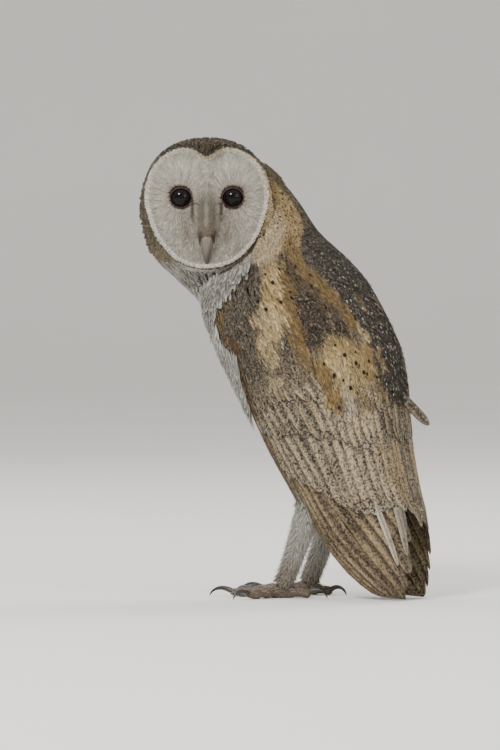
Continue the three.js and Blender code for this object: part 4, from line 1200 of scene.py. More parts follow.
def build_coverts():
    """Lesser and median coverts of both wings: rows of small round-tipped feathers, and the white feathers of the
    flank that hang over the wing's front edge."""
    made = []
    low, high = (-2.0, -0.05), (130.0, 1.05)
    for side, hand in HANDS.items():
        place = on_wing(hand)
        rng = np.random.default_rng(60 + hand)
        coat = Plumage()

        def roots(end, spacing, seed, reach):
            root = scatter(place, (0.0, 0.0), (end, 0.98), spacing, seed)
            border = through(((0, 0.5), (14, 0.62), (30, 0.8), (60, 0.75), (92, 0.6)), root[:, 0])
            return root[(root[:, 1] < border + 0.04) & (root[:, 1] > through(WRIST, root[:, 0]) + reach) & clear_of_head(place(root[:, 0], root[:, 1], 0.0), 1.0)]

        root = roots(80.0, 2.6, 19, 0.0)
        root = root[np.argsort(-root[:, 0])]
        n = len(root)
        size = mix(0.7, 1.2, smooth(root[:, 0], 5, 75))
        tip = along_lie(place, root, rng.uniform(11, 15, n) * size, rng.normal(0, 0.1, n))
        coat.add(place, SOFT_VANE, root, tip, rng.uniform(1.9, 2.7, n) * size, (2.6, 0.1), vane_colour(wing_marks), (low, high), thick=0.55, tilt=rng.normal(0, 0.12, n), seed=61)
        root = roots(96.0, 1.4, 23, 0.0)
        n = len(root)
        tip = along_lie(place, root, rng.uniform(4, 8, n), rng.normal(0, 0.12, n))
        coat.add(place, FILAMENT, root, tip, rng.uniform(0.3, 0.5, n), (0.5, -0.35), vane_colour(wing_marks), (low, high), thick=0.3, seed=62)
        made.append(coat.piece(f"coverts_{side}", "mantle", plumage(), (f"wing_{side}",)))

        flank = Plumage()
        for shape, spacing, long_, half, depth, seed in ((SMALL_VANE, 2.2, (9, 15), (1.1, 1.7), (1.2, -1.0), 65), (FILAMENT, 1.3, (7, 12), (0.3, 0.5), (0.2, -1.5), 66)):
            root = scatter(place, (-1.0, -0.03), (92.0, 0.62), spacing, seed)
            edge = through(WRIST, root[:, 0])
            root = root[(root[:, 1] < edge - 0.012) & clear_of_head(place(root[:, 0], root[:, 1], 0.0), 1.0)]
            n = len(root)
            tip = along_lie(place, root, rng.uniform(*long_, n) * mix(0.6, 1, smooth(root[:, 0], 4, 30)), rng.normal(-0.05, 0.1, n))
            limit = through(WRIST, tip[:, 0]) - 0.004
            tip[:, 1] = np.where(root[:, 0] > 16, np.minimum(tip[:, 1], np.maximum(limit, root[:, 1] - 0.06)), tip[:, 1])
            # painted shade: the white flank feathers run about a fifth darker than vane_colour's defaults, 0.68 to
            # 0.86, where they hang over the wing
            flank.add(place, shape, root, tip, rng.uniform(*half, n), depth, vane_colour(lambda a, b: breast_marks(a, -0.5 + 0 * b), 0.86, 0.68), (low, high), rise=rng.uniform(0, 1.2, n), thick=0.4, seed=seed)
        made.append(flank.piece(f"flank_{side}", "breast", down()))
    return made


def flight_colour(light, dark, bars, tip_pale, fleck, frost, depth_of_bar=0.5):
    """A large feather: the edge of its leading web is light and the rest dark, crossed by soft dark bars at even
    distances, mottled, with a pale tip and a darker shaft."""

    def colour(s, t, root, tip, rng):
        n = len(root)
        tone, phase = rng.uniform(0.86, 1.12, (n, 1, 1)), rng.uniform(0, 1, (n, 1))
        mottle = wobble(s * 34 + phase * 50, t * 6 + phase * 90, 2.2, 3)
        web = smooth(t + 0.14 * mottle, rng.uniform(-0.85, -0.6, (n, 1)), rng.uniform(-0.25, 0.1, (n, 1)))
        # the dark web is eased towards the light colour on the trailing side: partly the web's own paler tone, partly
        # painted light
        coat = mix(light * 1.12, dark * 0.82, web * 0.95 * (1 - 0.45 * smooth(t, 0.2, 0.8)) * (1 - 0.25 * smooth(mottle, 0.2, 0.9)))
        bar = bell(((s * bars + phase * 0.3 + 0.03 * mottle) % 1.0) - 0.5, 0.16) * smooth(s, 0.1, 0.2)
        coat = mix(coat, paint.brown, bar * depth_of_bar)
        coat = mix(coat, paint.pale_grey, smooth(s, 0.93, 1.0) * tip_pale)
        coat = mix(coat, paint.dark, bell(t, 0.05) * 0.45)
        pepper = np.stack([fleck * mix(0.7, 1.1, web) + bar * 0.3, frost * mix(0.3, 1.2, web), 0 * s], -1)
        return coat * tone, pepper

    return colour


def row_of(stations, count):
    """Evenly spaced values down a table of (number, root along, root across, tip along, tip across, half width)."""
    table = np.array(stations, float)
    k = np.linspace(table[0, 0], table[-1, 0], count)
    return [through(list(zip(table[:, 0], table[:, i])), k) for i in range(1, table.shape[1])]


def on_back(hand):
    """Place on the outline of both folded wings: along, degrees from the side to the back, depth."""

    def place(along, degrees, depth):
        points = laid(section(FOLDED, along, np.radians(degrees), depth))
        points[..., 0] *= hand
        return points

    return place


def build_flight():
    """Coverts, secondaries, tertials and primaries of both wings, as full feathers with a shaft and two webs."""
    made = []
    low, high = (-2.0, -0.1), (262.0, 1.1)
    blunt, long_ = vane_shape(BLUNT, 9, 0.4), vane_shape(LONG, 9, 0.4)
    for side, hand in HANDS.items():
        near = Plumage()

        def lay(stations, count, shape, depth, colour, seed, bow=0.0, tilt=0.0, thick=0.8, step=0.0, stagger=0.8, place=on_wing(hand), window=(low, high)):
            a0, w0, a1, w1, half = row_of(stations, count)
            rng = np.random.default_rng(seed)
            a1 = a1 + rng.normal(0, stagger, count)
            root, tip = np.stack([a0, w0], 1), np.stack([a1, w1], 1)
            lift = step * np.arange(count)
            near.add(place, shape, root, tip, half, (depth[0] - lift, depth[1] - lift), colour, window, bow=bow, tilt=tilt, thick=thick, patch=0.02, seed=seed)

        light, buff = mix(paint.buff, paint.grey_brown, 0.25), mix(paint.buff, paint.gold, 0.35)
        deep = mix(paint.grey_brown, paint.smoke, 0.5)
        cover = flight_colour(light, deep, 2.3, 0.25, 0.9, 0.6, 0.5)
        second = flight_colour(mix(light, paint.pale_grey, 0.1), mix(deep, paint.grey_brown, 0.3), 3.6, 0.6, 0.95, 0.5)
        prime = flight_colour(mix(buff, paint.grey_brown, 0.25), paint.brown, 6.0, 0.15, 0.8, 0.25, 0.75)
        rear = flight_colour(mix(buff, paint.brown, 0.3), mix(deep, paint.smoke, 0.4), 4.0, 0.3, 0.9, 0.5)
        # numbers run from the outermost feather inwards
        lay(((0, 104, 0.10, 246, 0.035, 4.6), (3, 112, 0.16, 257, 0.28, 5.4), (6, 118, 0.32, 249, 0.56, 6.0), (9, 120, 0.52, 226, 0.80, 6.4)), 10, long_, (5.8, 3.6), prime, 71, bow=-1.5, tilt=0.4, step=0.2)
        lay(((0, 84, 0.06, 141, 0.07, 4.6), (4, 92, 0.24, 168, 0.30, 6.2), (8, 96, 0.48, 196, 0.50, 6.8), (13, 92, 0.86, 206, 0.86, 7.2)), 14, blunt, (4.6, 2.0), second, 72, bow=-0.8, tilt=0.45, step=0.07, stagger=1.5)
        lay(((0, 76, 0.015, 132, 0.015, 3.2), (3, 98, 0.02, 160, 0.04, 3.0)), 4, blunt, (3.2, 1.4), flight_colour(mix(paint.orange, paint.buff, 0.5), paint.brown, 3, 0.2, 0.7, 0.1), 73, tilt=0.4)
        lay(((0, 60, 0.10, 112, 0.06, 4.2), (3, 66, 0.26, 124, 0.25, 5.0), (8, 72, 0.50, 146, 0.48, 5.6), (14, 74, 0.84, 166, 0.84, 6.4)), 15, blunt, (3.6, 1.3), cover, 74, bow=-0.5, tilt=0.4, step=0.03, stagger=3.5)
        lay(((0, 50, 0.16, 88, 0.10, 3.6), (3, 52, 0.28, 98, 0.26, 4.4), (8, 58, 0.50, 112, 0.49, 5.0), (13, 62, 0.82, 128, 0.80, 6.0)), 15, blunt, (3.0, 0.7), cover, 75, tilt=0.4, step=0.02, stagger=4)
        back_window = ((80.0, 40.0), (240.0, 100.0))
        lay(((0, 98, 58, 178, 62, 6.0), (3, 106, 70, 204, 71, 6.6), (6, 112, 84, 220, 84, 6.2)), 7, blunt, (3.6, 0.9), rear, 76, tilt=0.4, step=0.12, place=on_back(hand), window=back_window)
        lay(((0, 84, 62, 140, 64, 5.4), (5, 92, 88, 164, 86, 6.0)), 6, blunt, (2.6, 0.2), rear, 77, tilt=0.4, step=0.05, stagger=4, place=on_back(hand), window=back_window)
        lay(((0, 184, 0.60, 235, 0.53, 2.3), (1, 180, 0.64, 216, 0.61, 1.6)), 1, long_, (1.5, 0.9), flight_colour(mix(paint.white, paint.cream, 0.3), mix(paint.pale_grey, paint.buff, 0.4), 2, 0.2, 0.2, 0.1, 0.2), 78)
        lay(((0, 168, 0.86, 232, 0.69, 3.2), (1, 172, 0.90, 220, 0.77, 2.8)), 2, long_, (1.6, 1.0), flight_colour(mix(paint.pale_grey, paint.grey_brown, 0.5), mix(paint.pale_grey, paint.grey_brown, 0.7), 4, 0.2, 0.3, 0.1, 0.2), 79)
        made.append(near.piece(f"flight_{side}", "flight", plumage(), (f"secondaries_{side}", f"primaries_{side}")))
    return made


# Dark drops of the left side: mm down the spine, degrees from the side to the back, half width in mm.
DROPS = (
    (28, 17, 1.1), (20, 16, 0.7), (42, 4, 1.1), (34, 3, 1.0), (43, 14, 1.0), (44, 22, 0.9), (34, 34, 0.8), (25, 41, 0.8), (35, 47, 0.7),
    (27, 32, 0.7), (43, 41, 0.8), (7, 45, 0.6), (13, 37, 0.6), (22, 39, 0.6), (40, 24, 0.8), (96, 39, 1.1), (104, 46, 1.1), (105, 25, 1.2),
    (112, 51, 1.1), (106, 59, 0.9), (95, 21, 0.9), (118, 35, 1.1), (111, 31, 0.8), (97, 49, 0.7), (87, 35, 0.8), (114, 54, 0.8),
    (118, 63, 0.9), (126, 21, 0.9), (48, 44, 0.6), (61, 42, 0.7), (71, 27, 0.8),
    (-25, 46, 0.55), (-22, 56, 0.5), (-21, 49, 0.5), (-22, 45, 0.5), (-18, 44, 0.5), (-16, 50, 0.55), (-14, 44, 0.5), (-10, 52, 0.6),
    (-14, 66, 0.6), (-7, 58, 0.6), (-15, 32, 0.5), (-12, 30, 0.5), (-4, 39, 0.5), (-5, 35, 0.45), (-30, 52, 0.5), (-28, 60, 0.5), (-3, 50, 0.5),
    (2, 55, 0.6), (-19, 38, 0.45), (-26, 38, 0.4), (-9, 45, 0.45), (-34, 58, 0.5), (-36, 50, 0.4),
)


def build_drops():
    """Dark drops on the golden and cream patches, pale drops with a dark head on the grey of the back, and small
    dark dots on the throat and breast."""
    drops, dots = Plumage(), Plumage()
    rng = np.random.default_rng(95)
    table = np.array(DROPS)
    window = ((-60.0, -0.9), (150.0, 4.0))

    def add(target, place, where, half, colour, depth, seed, long_=1.5, window=window):
        half = np.broadcast_to(half, (len(where),))
        ends = along_lie(place, where, half * long_ * 2, rng.normal(0, 0.15, len(where)))
        start = where - (ends - where) * 0.5
        target.add(place, SMALL_VANE, start, start + (ends - where), half, (depth, depth), colour, window, thick=0.15, seed=seed)

    dark = flat_colour(paint.drop)
    for k, hand in enumerate(HANDS.values()):
        shift = rng.normal(0, 1.5, (len(table), 2)) * (hand < 0)
        where = table[:, :2] + shift
        on_neck = where[:, 0] < 12
        angle = np.radians(where[:, 1])
        add(drops, on_cloak, np.stack([where[:, 0], angle if hand > 0 else math.pi - angle], 1)[on_neck], table[on_neck, 2], dark, -0.75, 96 + k)
        add(drops, on_back(hand), where[~on_neck], table[~on_neck, 2], dark, -0.95, 98 + k, window=((0.0, -60.0), (150.0, 100.0)))
    where = scatter(on_cloak, (4.0, math.radians(62)), (132.0, math.radians(118)), 6.6, 31)
    where = where[rng.random(len(where)) < 0.5] + rng.normal(0, 1, (1, 2)) * (1.5, 0.02)
    size = rng.uniform(0.32, 0.55, len(where))
    add(drops, on_cloak, where, size, flat_colour(paint.white), -1.0, 102, 2.2)
    add(drops, on_cloak, where - (1.7, 0), size * 1.1, dark, -0.98, 103, 1.3)
    for low, high, gap, seed in (((-8, -150), (34, -88), 5.0, 33), ((-8, -88), (34, -30), 4.4, 35), ((30, -70), (120, -30), 9.0, 34), ((30, -150), (120, -110), 9.0, 36)):
        where = scatter(on_body, (low[0], math.radians(low[1])), (high[0], math.radians(high[1])), gap, seed)
        where = where[clear_of_head(on_body(where[:, 0], where[:, 1], 0.0), 2.0)]
        add(dots, on_body, where, rng.uniform(0.35, 0.6, len(where)), dark, -0.85, 104 + seed, 1.2)
    return [drops.piece("drop_spots", "mantle", down()), dots.piece("breast_dots", "breast", down())]


def on_tail(along, side, depth):
    """A shallow arch below the wings, from the rump to the tail's tip."""
    t = (along - 160) / 78
    out = through(((-0.6, 6), (0, -1), (0.5, -9), (1, -20)), t) - 4 * (side / 17) ** 2 * np.clip(1 - t, 0, 1) - depth
    return laid(body_point(along, out, side))


def build_tail():
    coat = Plumage()
    k = np.linspace(-1, 1, 12)
    root = np.stack([np.full(12, 128.0), 5 * k], 1)
    tip = np.stack([238 - 5 * np.abs(k) ** 2, 14.5 * k], 1)
    colour = flight_colour(mix(paint.buff, paint.grey_brown, 0.4), mix(paint.buff, paint.white, 0.3), 4.5, 0.6, 0.5, 0.2)
    coat.add(on_tail, vane_shape(LONG, 9, 0.4), root, tip, 6.0, (1.5 + 0.3 * np.abs(k) * 6, 0.2 + 0.25 * np.abs(k) * 6), colour, ((100, -20), (250, 20)), tilt=0.3 * np.sign(k), patch=0.02, seed=81)
    tail = coat.piece("tail_feathers", "flight", plumage(), ("tail",))
    loose = Plumage()

    def beside(along, out, depth):
        return body_point(along, out, -8 + (162 - along) / 46 * 5 - depth)

    colour = flight_colour(paint.grey_brown, paint.smoke, 2, 0.6, 0.7, 0.5)
    loose.add(beside, vane_shape(BLUNT, 9, 0.4), np.array([[112.0, 40.0]]), np.array([[162.0, 50.0]]), 3.6, (0.0, 0.0), colour, ((100, 30), (170, 60)), patch=0.05, seed=82)
    return [tail, loose.piece("loose_feather_vane", "flight", plumage(), ("loose_feather",))]


# ---------------------------------------------------------------- legs, feet, bill and eyes

LEG_SIDE, HOCK, ANKLE = 20.5, (21.0 + ORIGIN_SHIFT, 68.0), (2.5 + ORIGIN_SHIFT, 8.0)
TOES = {"middle": (4, 35, 18, 3), "inner": (-22, 29, 18, 2), "outer": (62, 27, 14, 3), "hind": (190, 17, 14, 1)}


def leg_paths(hand):
    hip = body_point(np.array(100.0), np.array(-18.0), np.array(hand * (LEG_SIDE - 3.0)))
    hock = np.array((hand * LEG_SIDE, *HOCK))
    way = (hock - hip) / np.linalg.norm(hock - hip)
    ankle = np.array((hand * (LEG_SIDE + 1), ANKLE[0], ANKLE[1] - 1))
    thigh = lambda t: bezier((hip, hock), t)
    tarsus = lambda t: bezier((hock + way * 0.6, hock + way * 12, ankle), t)
    return thigh, tarsus


def thigh_radius(t):
    return through(((0, 18), (0.5, 14), (0.8, 10.5), (1, 8.8)), t)


def tarsus_radius(t):
    return through(((0, 8.8), (0.2, 8.8), (0.55, 7.8), (0.85, 6.6), (1, 6.4)), t)


def build_leg_coat():
    made = []
    for side, hand in HANDS.items():
        thigh, tarsus = leg_paths(hand)
        rng = np.random.default_rng(90 + hand)
        coat = Plumage()
        for path, radius, spacing, long_, half, depth, low, high, name in (
            (thigh, thigh_radius, 1.3, (8, 12), (0.5, 0.9), (1.6, -0.4), (0.1, 0.0), (0.98, 2 * math.pi), "thigh"),
            (tarsus, tarsus_radius, 0.8, (5, 8.5), (0.26, 0.42), (1.4, -1.0), (-0.06, 0.0), (0.94, 2 * math.pi), "tarsus"),
        ):
            place = lambda a, b, depth_, path=path, radius=radius: tube(path, lambda t: radius(t) - 1.0 - depth_, np.clip(a, -0.2, 1.2), b)
            root = scatter(place, low, high, spacing, 26)
            n = len(root)
            tip = along_lie(place, root, rng.uniform(*long_, n), rng.normal(0, 0.16, n))

            def colour(s, t, r, p, rng, name=name):
                tone = rng.uniform(0.85, 1.08, (len(r), 1, 1))
                brown = smooth(r[:, :1], 0.5, 0.98) if name == "tarsus" else 0 * r[:, :1]
                # painted light towards each filament's tip: white at the covered root, brighter snow at the tip
                coat_ = mix(mix(paint.white, paint.snow, smooth(s, 0.3, 1)), hue(116, 99, 82), brown * mix(0.95, 0.6, s))
                return coat_ * tone, np.zeros(s.shape + (3,))

            coat.add(place, FILAMENT, root, tip, rng.uniform(*half, n), depth, colour, (low, high), rise=rng.uniform(0, 2.4, n) ** 1.2, thick=0.35, seed=91)
        made.append(coat.piece(f"leg_coat_{side}", "leg", down(), (f"thigh_{side}", f"tarsus_{side}")))
    return made


def toe_path(hand, heading, length):
    angle = math.radians(heading)
    ahead = np.array((hand * math.sin(angle), -math.cos(angle), 0.0))
    root = np.array((hand * (LEG_SIDE + 1), ANKLE[0], 0.0)) + ahead * 3
    return ahead, root


def build_feet():
    """Toes as padded tubes with cross plates on top, claws as tapered hooks, and short bristles on the toes."""
    made = []
    angles = np.linspace(0, 2 * math.pi, 28, endpoint=False)
    for side, hand in HANDS.items():
        parts, layers, replaced = [], [], []
        bristles = Plumage()
        rng = np.random.default_rng(100 + hand)
        for digit, (heading, length, claw, joints) in TOES.items():
            ahead, root = toe_path(hand, heading, length)
            height = ((0, 4.6), (0.35, 4.0), (0.7, 3.3), (1, 3.1))
            path = lambda t, ahead=ahead, root=root, length=length: root + ahead * (length * np.asarray(t)[..., None]) + np.array((0, 0, 1.0)) * through(height, t)[..., None]

            def radius(t, joints=joints, length=length):
                pads = 1 + 0.13 * np.cos(2 * math.pi * joints * (t - 0.06))
                near_end = np.clip((t - 1) * length / 3.4 + 1, 0, 1)
                return 3.7 * mix(1.05, 0.78, t) * pads * np.sqrt(np.clip(1 - 0.9 * near_end**2, 0, 1))

            t = np.linspace(0, 1, 64)[:, None]
            a = angles[None]
            plates = 0.16 * np.abs(np.sin(t * length * 1.25)) ** 0.5 * smooth(np.sin(a), 0.1, 0.7)
            under = (0.22 * np.maximum(wobble(t * length, a * 3.4, 1.0, 3), 0) + 0.5 * np.maximum(np.cos(2 * math.pi * joints * (t - 0.06)), 0)) * smooth(-np.sin(a), 0.2, 0.8)
            tt, aa = np.broadcast_arrays(t, a)
            rings = tube(path, lambda q: radius(q) + plates + under - 0.15, tt, aa)
            parts.append(closed_tube(rings))
            replaced.append(f"toe_{side}_{digit}")
            low, high = (0.0, 0.0), (1.0, math.pi)
            place = lambda p, q, depth, path=path, radius=radius: tube(path, lambda k: radius(k) - depth, np.clip(p, 0, 1), q)
            roots = scatter(place, low, high, 1.7, 7)
            roots = roots[rng.random(len(roots)) < mix(0.9, 0.35, roots[:, 0])]
            tips = along_lie(place, roots, rng.uniform(2.2, 3.6, len(roots)), rng.normal(0, 0.35, len(roots)))
            bristles.add(place, FILAMENT, roots, tips, 0.16, (0.2, -0.7), flat_colour(hue(168, 156, 136)), (low, high), thick=0.25, seed=101)
        foot_path = lambda t: bezier((np.array((hand * (LEG_SIDE + 1), ANKLE[0] + 7, 5.0)), np.array((hand * (LEG_SIDE + 1), ANKLE[0] - 8, 4.2))), t)
        tt, aa = np.broadcast_arrays(np.linspace(0, 1, 24)[:, None], angles[None])
        parts.append(closed_tube(tube(foot_path, lambda t: through(((0, 2.5), (0.25, 5.6), (0.6, 6.4), (1, 3)), t), tt, aa)))
        replaced.append(f"foot_{side}")
        points, faces = join_parts(parts)
        toes = make_piece(f"toes_{side}", points, faces, material=material("toe_skin", toe_material))
        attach(toes, "root"), toes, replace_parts(toes, *replaced)
        made += [toes, bristles.piece(f"toe_bristles_{side}", "leg", down())]
        parts, measure, replaced = [], [], []
        for digit, (heading, length, claw, joints) in TOES.items():
            ahead, root = toe_path(hand, heading, length)
            reach = claw * 0.86
            at = lambda d, z: root + ahead * (length + d) + np.array((0, 0, z))
            curve = (at(-1.2, 3.6), at(reach * 0.35, 7.2), at(reach * 0.85, 6.2), at(reach, 0.45))
            path = lambda t, curve=curve: bezier(curve, t)
            tt, aa = np.broadcast_arrays(np.linspace(0, 1, 40)[:, None], np.linspace(0, 2 * math.pi, 20, endpoint=False)[None])
            groove = 1 - 0.14 * bell(np.sin(aa) + 1, 0.12)
            rings = tube(path, lambda t: 2.1 * np.sqrt(np.clip(1 - t * 0.985, 0, 1)) * mix(1, 0.8, t) * groove, tt, aa)
            parts.append(closed_tube(rings))
            along = np.concatenate([(tt * claw).ravel(), [0, claw]])
            measure.append(np.stack([np.concatenate([(aa * 2).ravel(), [0, 0]]), along, 0 * along], 1))
            replaced.append(f"claw_{side}_{digit}")
        points, faces = join_parts(parts)
        claws = make_piece(f"claws_{side}", points, faces, {"barb": np.concatenate(measure)}, material=material("claw_horn", horn_material, hue(52, 44, 38), hue(20, 17, 16), 2.0, 12.0, 0.28))
        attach(claws, "root"), claws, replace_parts(claws, *replaced)
        made.append(claws)
    return made


def bill_rings(length, width, top, forward, hook, drop, rows, columns):
    """A hooked half cone: a quadratic curve that leaves the ridge, bows out and drops to the tip; its half width
    falls as the root of 1 - t^1.5, and a keel sharpens the top line."""
    ends = (np.array((0.0, top, forward - 7)), np.array((0.0, top - 0.25 * length, forward + hook)), np.array((0.0, top - length, forward - drop)))
    t = np.linspace(0, 1, rows)
    centre = bezier(ends, t)
    tangent = np.gradient(centre, axis=0)
    tangent /= np.linalg.norm(tangent, axis=1, keepdims=True)
    out = np.cross(np.array((1.0, 0, 0)), tangent)
    half = width * np.sqrt(np.maximum(1 - t**1.5, 0)) * (1 - 0.25 * t) * mix(0.5, 1, smooth(t, 0.0, 0.3)) + 0.25
    angle = np.linspace(0, 2 * math.pi, columns, endpoint=False)[None]
    keel = 0.8 + 0.3 * bell(np.abs(np.sin(angle) - 1), 0.2)
    right = half[:, None] * np.cos(angle)
    rise = half[:, None] * keel * np.sin(angle)
    local = centre[:, None] + rise[..., None] * out[:, None]
    return head_point(right, local[..., 1], local[..., 2]), t


def build_bill():
    made = []
    ridge_top = float(disc_forward(np.array(0.0), np.array(BILL_TOP)))
    for name, length, width, top, forward, hook, drop in (
        ("upper", BILL_LENGTH, BILL_WIDTH, BILL_TOP, ridge_top - 3, 6, 4.5),
        ("lower", BILL_LENGTH - 7, BILL_WIDTH - 1.2, BILL_TOP - 2, ridge_top - 8, 3, 6),
    ):
        rings, t = bill_rings(length, width, top, forward, hook, drop, 48, 32)
        points, faces = closed_tube(rings)
        along = np.concatenate([np.repeat(t * length, 32), [0, length]])
        across = np.concatenate([np.tile(np.arange(32) * 0.4, 48), [0, 0]])
        faces = outward(points, faces)
        bill = make_piece(f"bill_{name}_horn", points, faces, {"barb": np.stack([across, along, 0 * along], 1)}, material=material("bill_horn", horn_material, hue(106, 97, 86), hue(74, 66, 58), 13.0, 24.0, 0.38))
        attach(bill, "root"), bill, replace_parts(bill, f"bill_{name}")
        made.append(bill)
    return made


def eye_centre(hand):
    forward = float(disc_forward(np.array(hand * EYE_SIDE), np.array(EYE_UP)))
    return np.array((hand * EYE_SIDE, EYE_UP, forward - math.sqrt(EYE_RADIUS**2 - EYE_SHOWN**2) + 0.6))


def build_eyes():
    """Eyeballs on a grid of polar angle from the way they look, with a cornea that swells a little, and lids: a
    ring round the opening whose section is a small ellipse, thicker above."""
    made = []
    for side, hand in HANDS.items():
        centre = eye_centre(hand)
        swing = np.linspace(0.02, math.pi - 0.02, 48)[:, None]
        turn = np.linspace(0, 2 * math.pi, 64, endpoint=False)[None]
        radius = EYE_RADIUS - 0.25 + 0.5 * bell(swing, 0.75)
        x, y, z = radius * np.sin(swing) * np.cos(turn), radius * np.sin(swing) * np.sin(turn), radius * np.cos(swing) * np.ones_like(turn)
        points, faces = closed_tube(head_point(centre[0] + x, centre[1] + y, centre[2] + z))
        spread = np.concatenate([np.repeat(np.sin(np.minimum(swing, math.pi / 2)).ravel(), 64), [0, 1]])
        eye = make_piece(f"eyeball_{side}", points, outward(points, faces), {"barb": np.stack([spread, 0 * spread, 0 * spread], 1)}, material=material("eye_gloss", eye_material))
        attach(eye, "root"), eye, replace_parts(eye, f"eye_{side}")
        turn, ring = np.broadcast_arrays(np.linspace(0, 2 * math.pi, 72, endpoint=False)[:, None], np.linspace(0, 2 * math.pi, 14, endpoint=False)[None])
        upper = smooth(np.sin(turn), -0.2, 0.7)
        opening = EYE_SHOWN + 0.15 - 0.35 * upper + 0.25 * np.cos(2 * turn)
        thick, deep = 0.45 + 0.25 * upper, 0.4
        rho = opening + thick * (1 + np.cos(ring)) * 0.5
        lift = np.sqrt(np.maximum((EYE_RADIUS + 0.2) ** 2 - opening**2, 1)) + deep * np.sin(ring) + 0.25
        points = head_point(centre[0] + rho * np.cos(turn), centre[1] + rho * np.sin(turn), centre[2] + lift)
        rows, columns = points.shape[:2]
        grid = sheet_faces(rows, columns, True)
        wrap = np.stack([(rows - 1) * columns + np.arange(columns), (rows - 1) * columns + (np.arange(columns) + 1) % columns, (np.arange(columns) + 1) % columns, np.arange(columns)], 1)
        points = points.reshape(-1, 3)
        lid = make_piece(f"eyelid_{side}", points, outward(points, [np.concatenate([grid, wrap])]), material=material("lid_skin", plain_material, hue(62, 46, 40), 0.5))
        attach(lid, "root"), lid
        made += [eye, lid]
    return made


# ---------------------------------------------------------------- skin


def loft_surface(place, low, high, rows, columns):
    a = np.linspace(low, high, rows)[:, None]
    b = np.linspace(0, 2 * math.pi, columns, endpoint=False)[None]
    a, b = np.broadcast_arrays(a, b)
    return closed_tube(place(a, b))


def wing_core(hand, depth):
    """The folded wing's flesh and the roots of its feathers: a blade between two depths under the wing's outside."""
    place = on_wing(hand)
    along = np.linspace(6, 196, 60)[:, None]
    ring = np.linspace(0, 2 * math.pi, 40, endpoint=False)[None]
    across = 0.5 + 0.46 * np.cos(ring) * np.sqrt(np.clip(1 - np.clip((along - 150) / 50, 0, 1) ** 2, 0.02, 1))
    thick = through(((0, 3.5), (60, 4.0), (130, 2.6), (196, 1.0)), along)
    return closed_tube(place(*np.broadcast_arrays(along, across), depth + thick * (1 - np.sin(ring))))


def build_skin(depth):
    """One skin: closed surfaces of the head, disc, neck, trunk, wings, thighs and tarsi, each drawn in by the
    coat's depth, run together into one shell."""
    parts = [
        loft_surface(lambda a, b: section(BODY, a, b, depth), -76, 180, 120, 72),
        *(wing_core(hand, depth + 1.6) for hand in HANDS.values()),
    ]
    turn = np.linspace(0, 2 * math.pi, 96, endpoint=False)[None]
    swing = np.linspace(0.03, 1, 24)[:, None] * math.pi / 2
    radius = head_radius(turn) - depth + 0.8
    shell = head_point(radius * np.sin(swing) ** 0.9 * np.sin(turn), radius * np.sin(swing) ** 0.9 * np.cos(turn), HEAD_WIDEST - (HEAD_BACK - depth + 0.8) * np.cos(swing) + 0 * turn)
    share = np.linspace(0.985, 0.02, 30)[:, None]
    edge = disc_radius(turn)
    right, up = share * edge * np.sin(turn), share * edge * np.cos(turn)
    parts.append(closed_tube(np.concatenate([shell, head_point(right, up, disc_forward(right, up) - 1.1)])))
    for hand in HANDS.values():
        thigh, tarsus = leg_paths(hand)
        t, a = np.broadcast_arrays(np.linspace(0, 1, 30)[:, None], np.linspace(0, 2 * math.pi, 32, endpoint=False)[None])
        parts.append(closed_tube(tube(thigh, lambda q: thigh_radius(q) - 2.2, t, a)))
        parts.append(closed_tube(tube(tarsus, lambda q: tarsus_radius(q) - 2.2, t, a)))
    points, faces = join_parts(parts)
    rough = make_piece("owl_skin_parts", points, faces)
    shell = rough.modifiers.new("one_shell", "REMESH")
    shell.mode, shell.voxel_size, shell.use_smooth_shade = "VOXEL", 0.0014, True
    soft = rough.modifiers.new("soft", "SMOOTH")
    soft.factor, soft.iterations = 0.5, 4
    bpy.context.view_layer.update()
    whole = rough.evaluated_get(bpy.context.evaluated_depsgraph_get()).to_mesh()
    co = np.empty(len(whole.vertices) * 3, np.float32)
    whole.vertices.foreach_get("co", co)
    corners = np.empty(len(whole.loops), np.int32)
    whole.loops.foreach_get("vertex_index", corners)
    start = np.empty(len(whole.polygons), np.int32)
    whole.polygons.foreach_get("loop_start", start)
    total = np.empty(len(whole.polygons), np.int32)
    whole.polygons.foreach_get("loop_total", total)
    co = co.reshape(-1, 3) / MM
    faces = [np.stack([corners[start[total == k] + i] for i in range(k)], 1) for k in (3, 4) if (total == k).any()]
    bpy.data.objects.remove(rough)
    coat = skin_marks(co)
    skin = make_piece("owl_skin", co, faces, {"coat": coat, "pepper": 0 * coat, "barb": 0 * coat}, material=down())
    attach(skin, "root"), skin
    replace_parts(skin, "head", "facial_disc", "neck", "trunk")
    return [skin]


def skin_marks(points):
    """The coat's markings at any place, worked out from where the place lies on the head or down the spine."""
    right, up, forward = head_place(points)
    along, out, side = body_place(points)
    back, front = through(CLOAK["back"], along), through(BODY["front"], along)
    degrees = np.degrees(np.arctan2(out - (back + front) / 2, np.abs(side)))
    upper, _ = upper_marks(along, degrees)
    lower, _ = breast_marks(along, np.radians(degrees))
    border = through(((-60, 20), (4, 6), (14, -24), (40, -34), (130, -40), (200, -50)), along)
    coat = mix(lower, upper, smooth(degrees, border - 6, border + 6))
    on_leg = (1 - smooth(out, -44, -34)) * smooth(along, 100, 130)
    coat = mix(coat, paint.white, on_leg)
    crown, _ = head_marks(points)
    rim = disc_forward(disc_radius(np.arctan2(right, up)) * np.sin(np.arctan2(right, up)), disc_radius(np.arctan2(right, up)) * np.cos(np.arctan2(right, up)))
    near = (np.hypot(right, up) < 46) & (forward > -41) & (forward < 34)
    coat = np.where(near[:, None], crown, coat)
    face = near & (forward > rim - 14) & (np.hypot(right, up) < disc_radius(np.arctan2(right, up)) - 0.5) & (forward > disc_forward(right, up) - 3.5)
    # painted shade: the skin under the coat is painted a little darker than the coat's markings
    return np.where(face[:, None], disc_marks(right, up), coat) * 0.92


# ---------------------------------------------------------------- stage


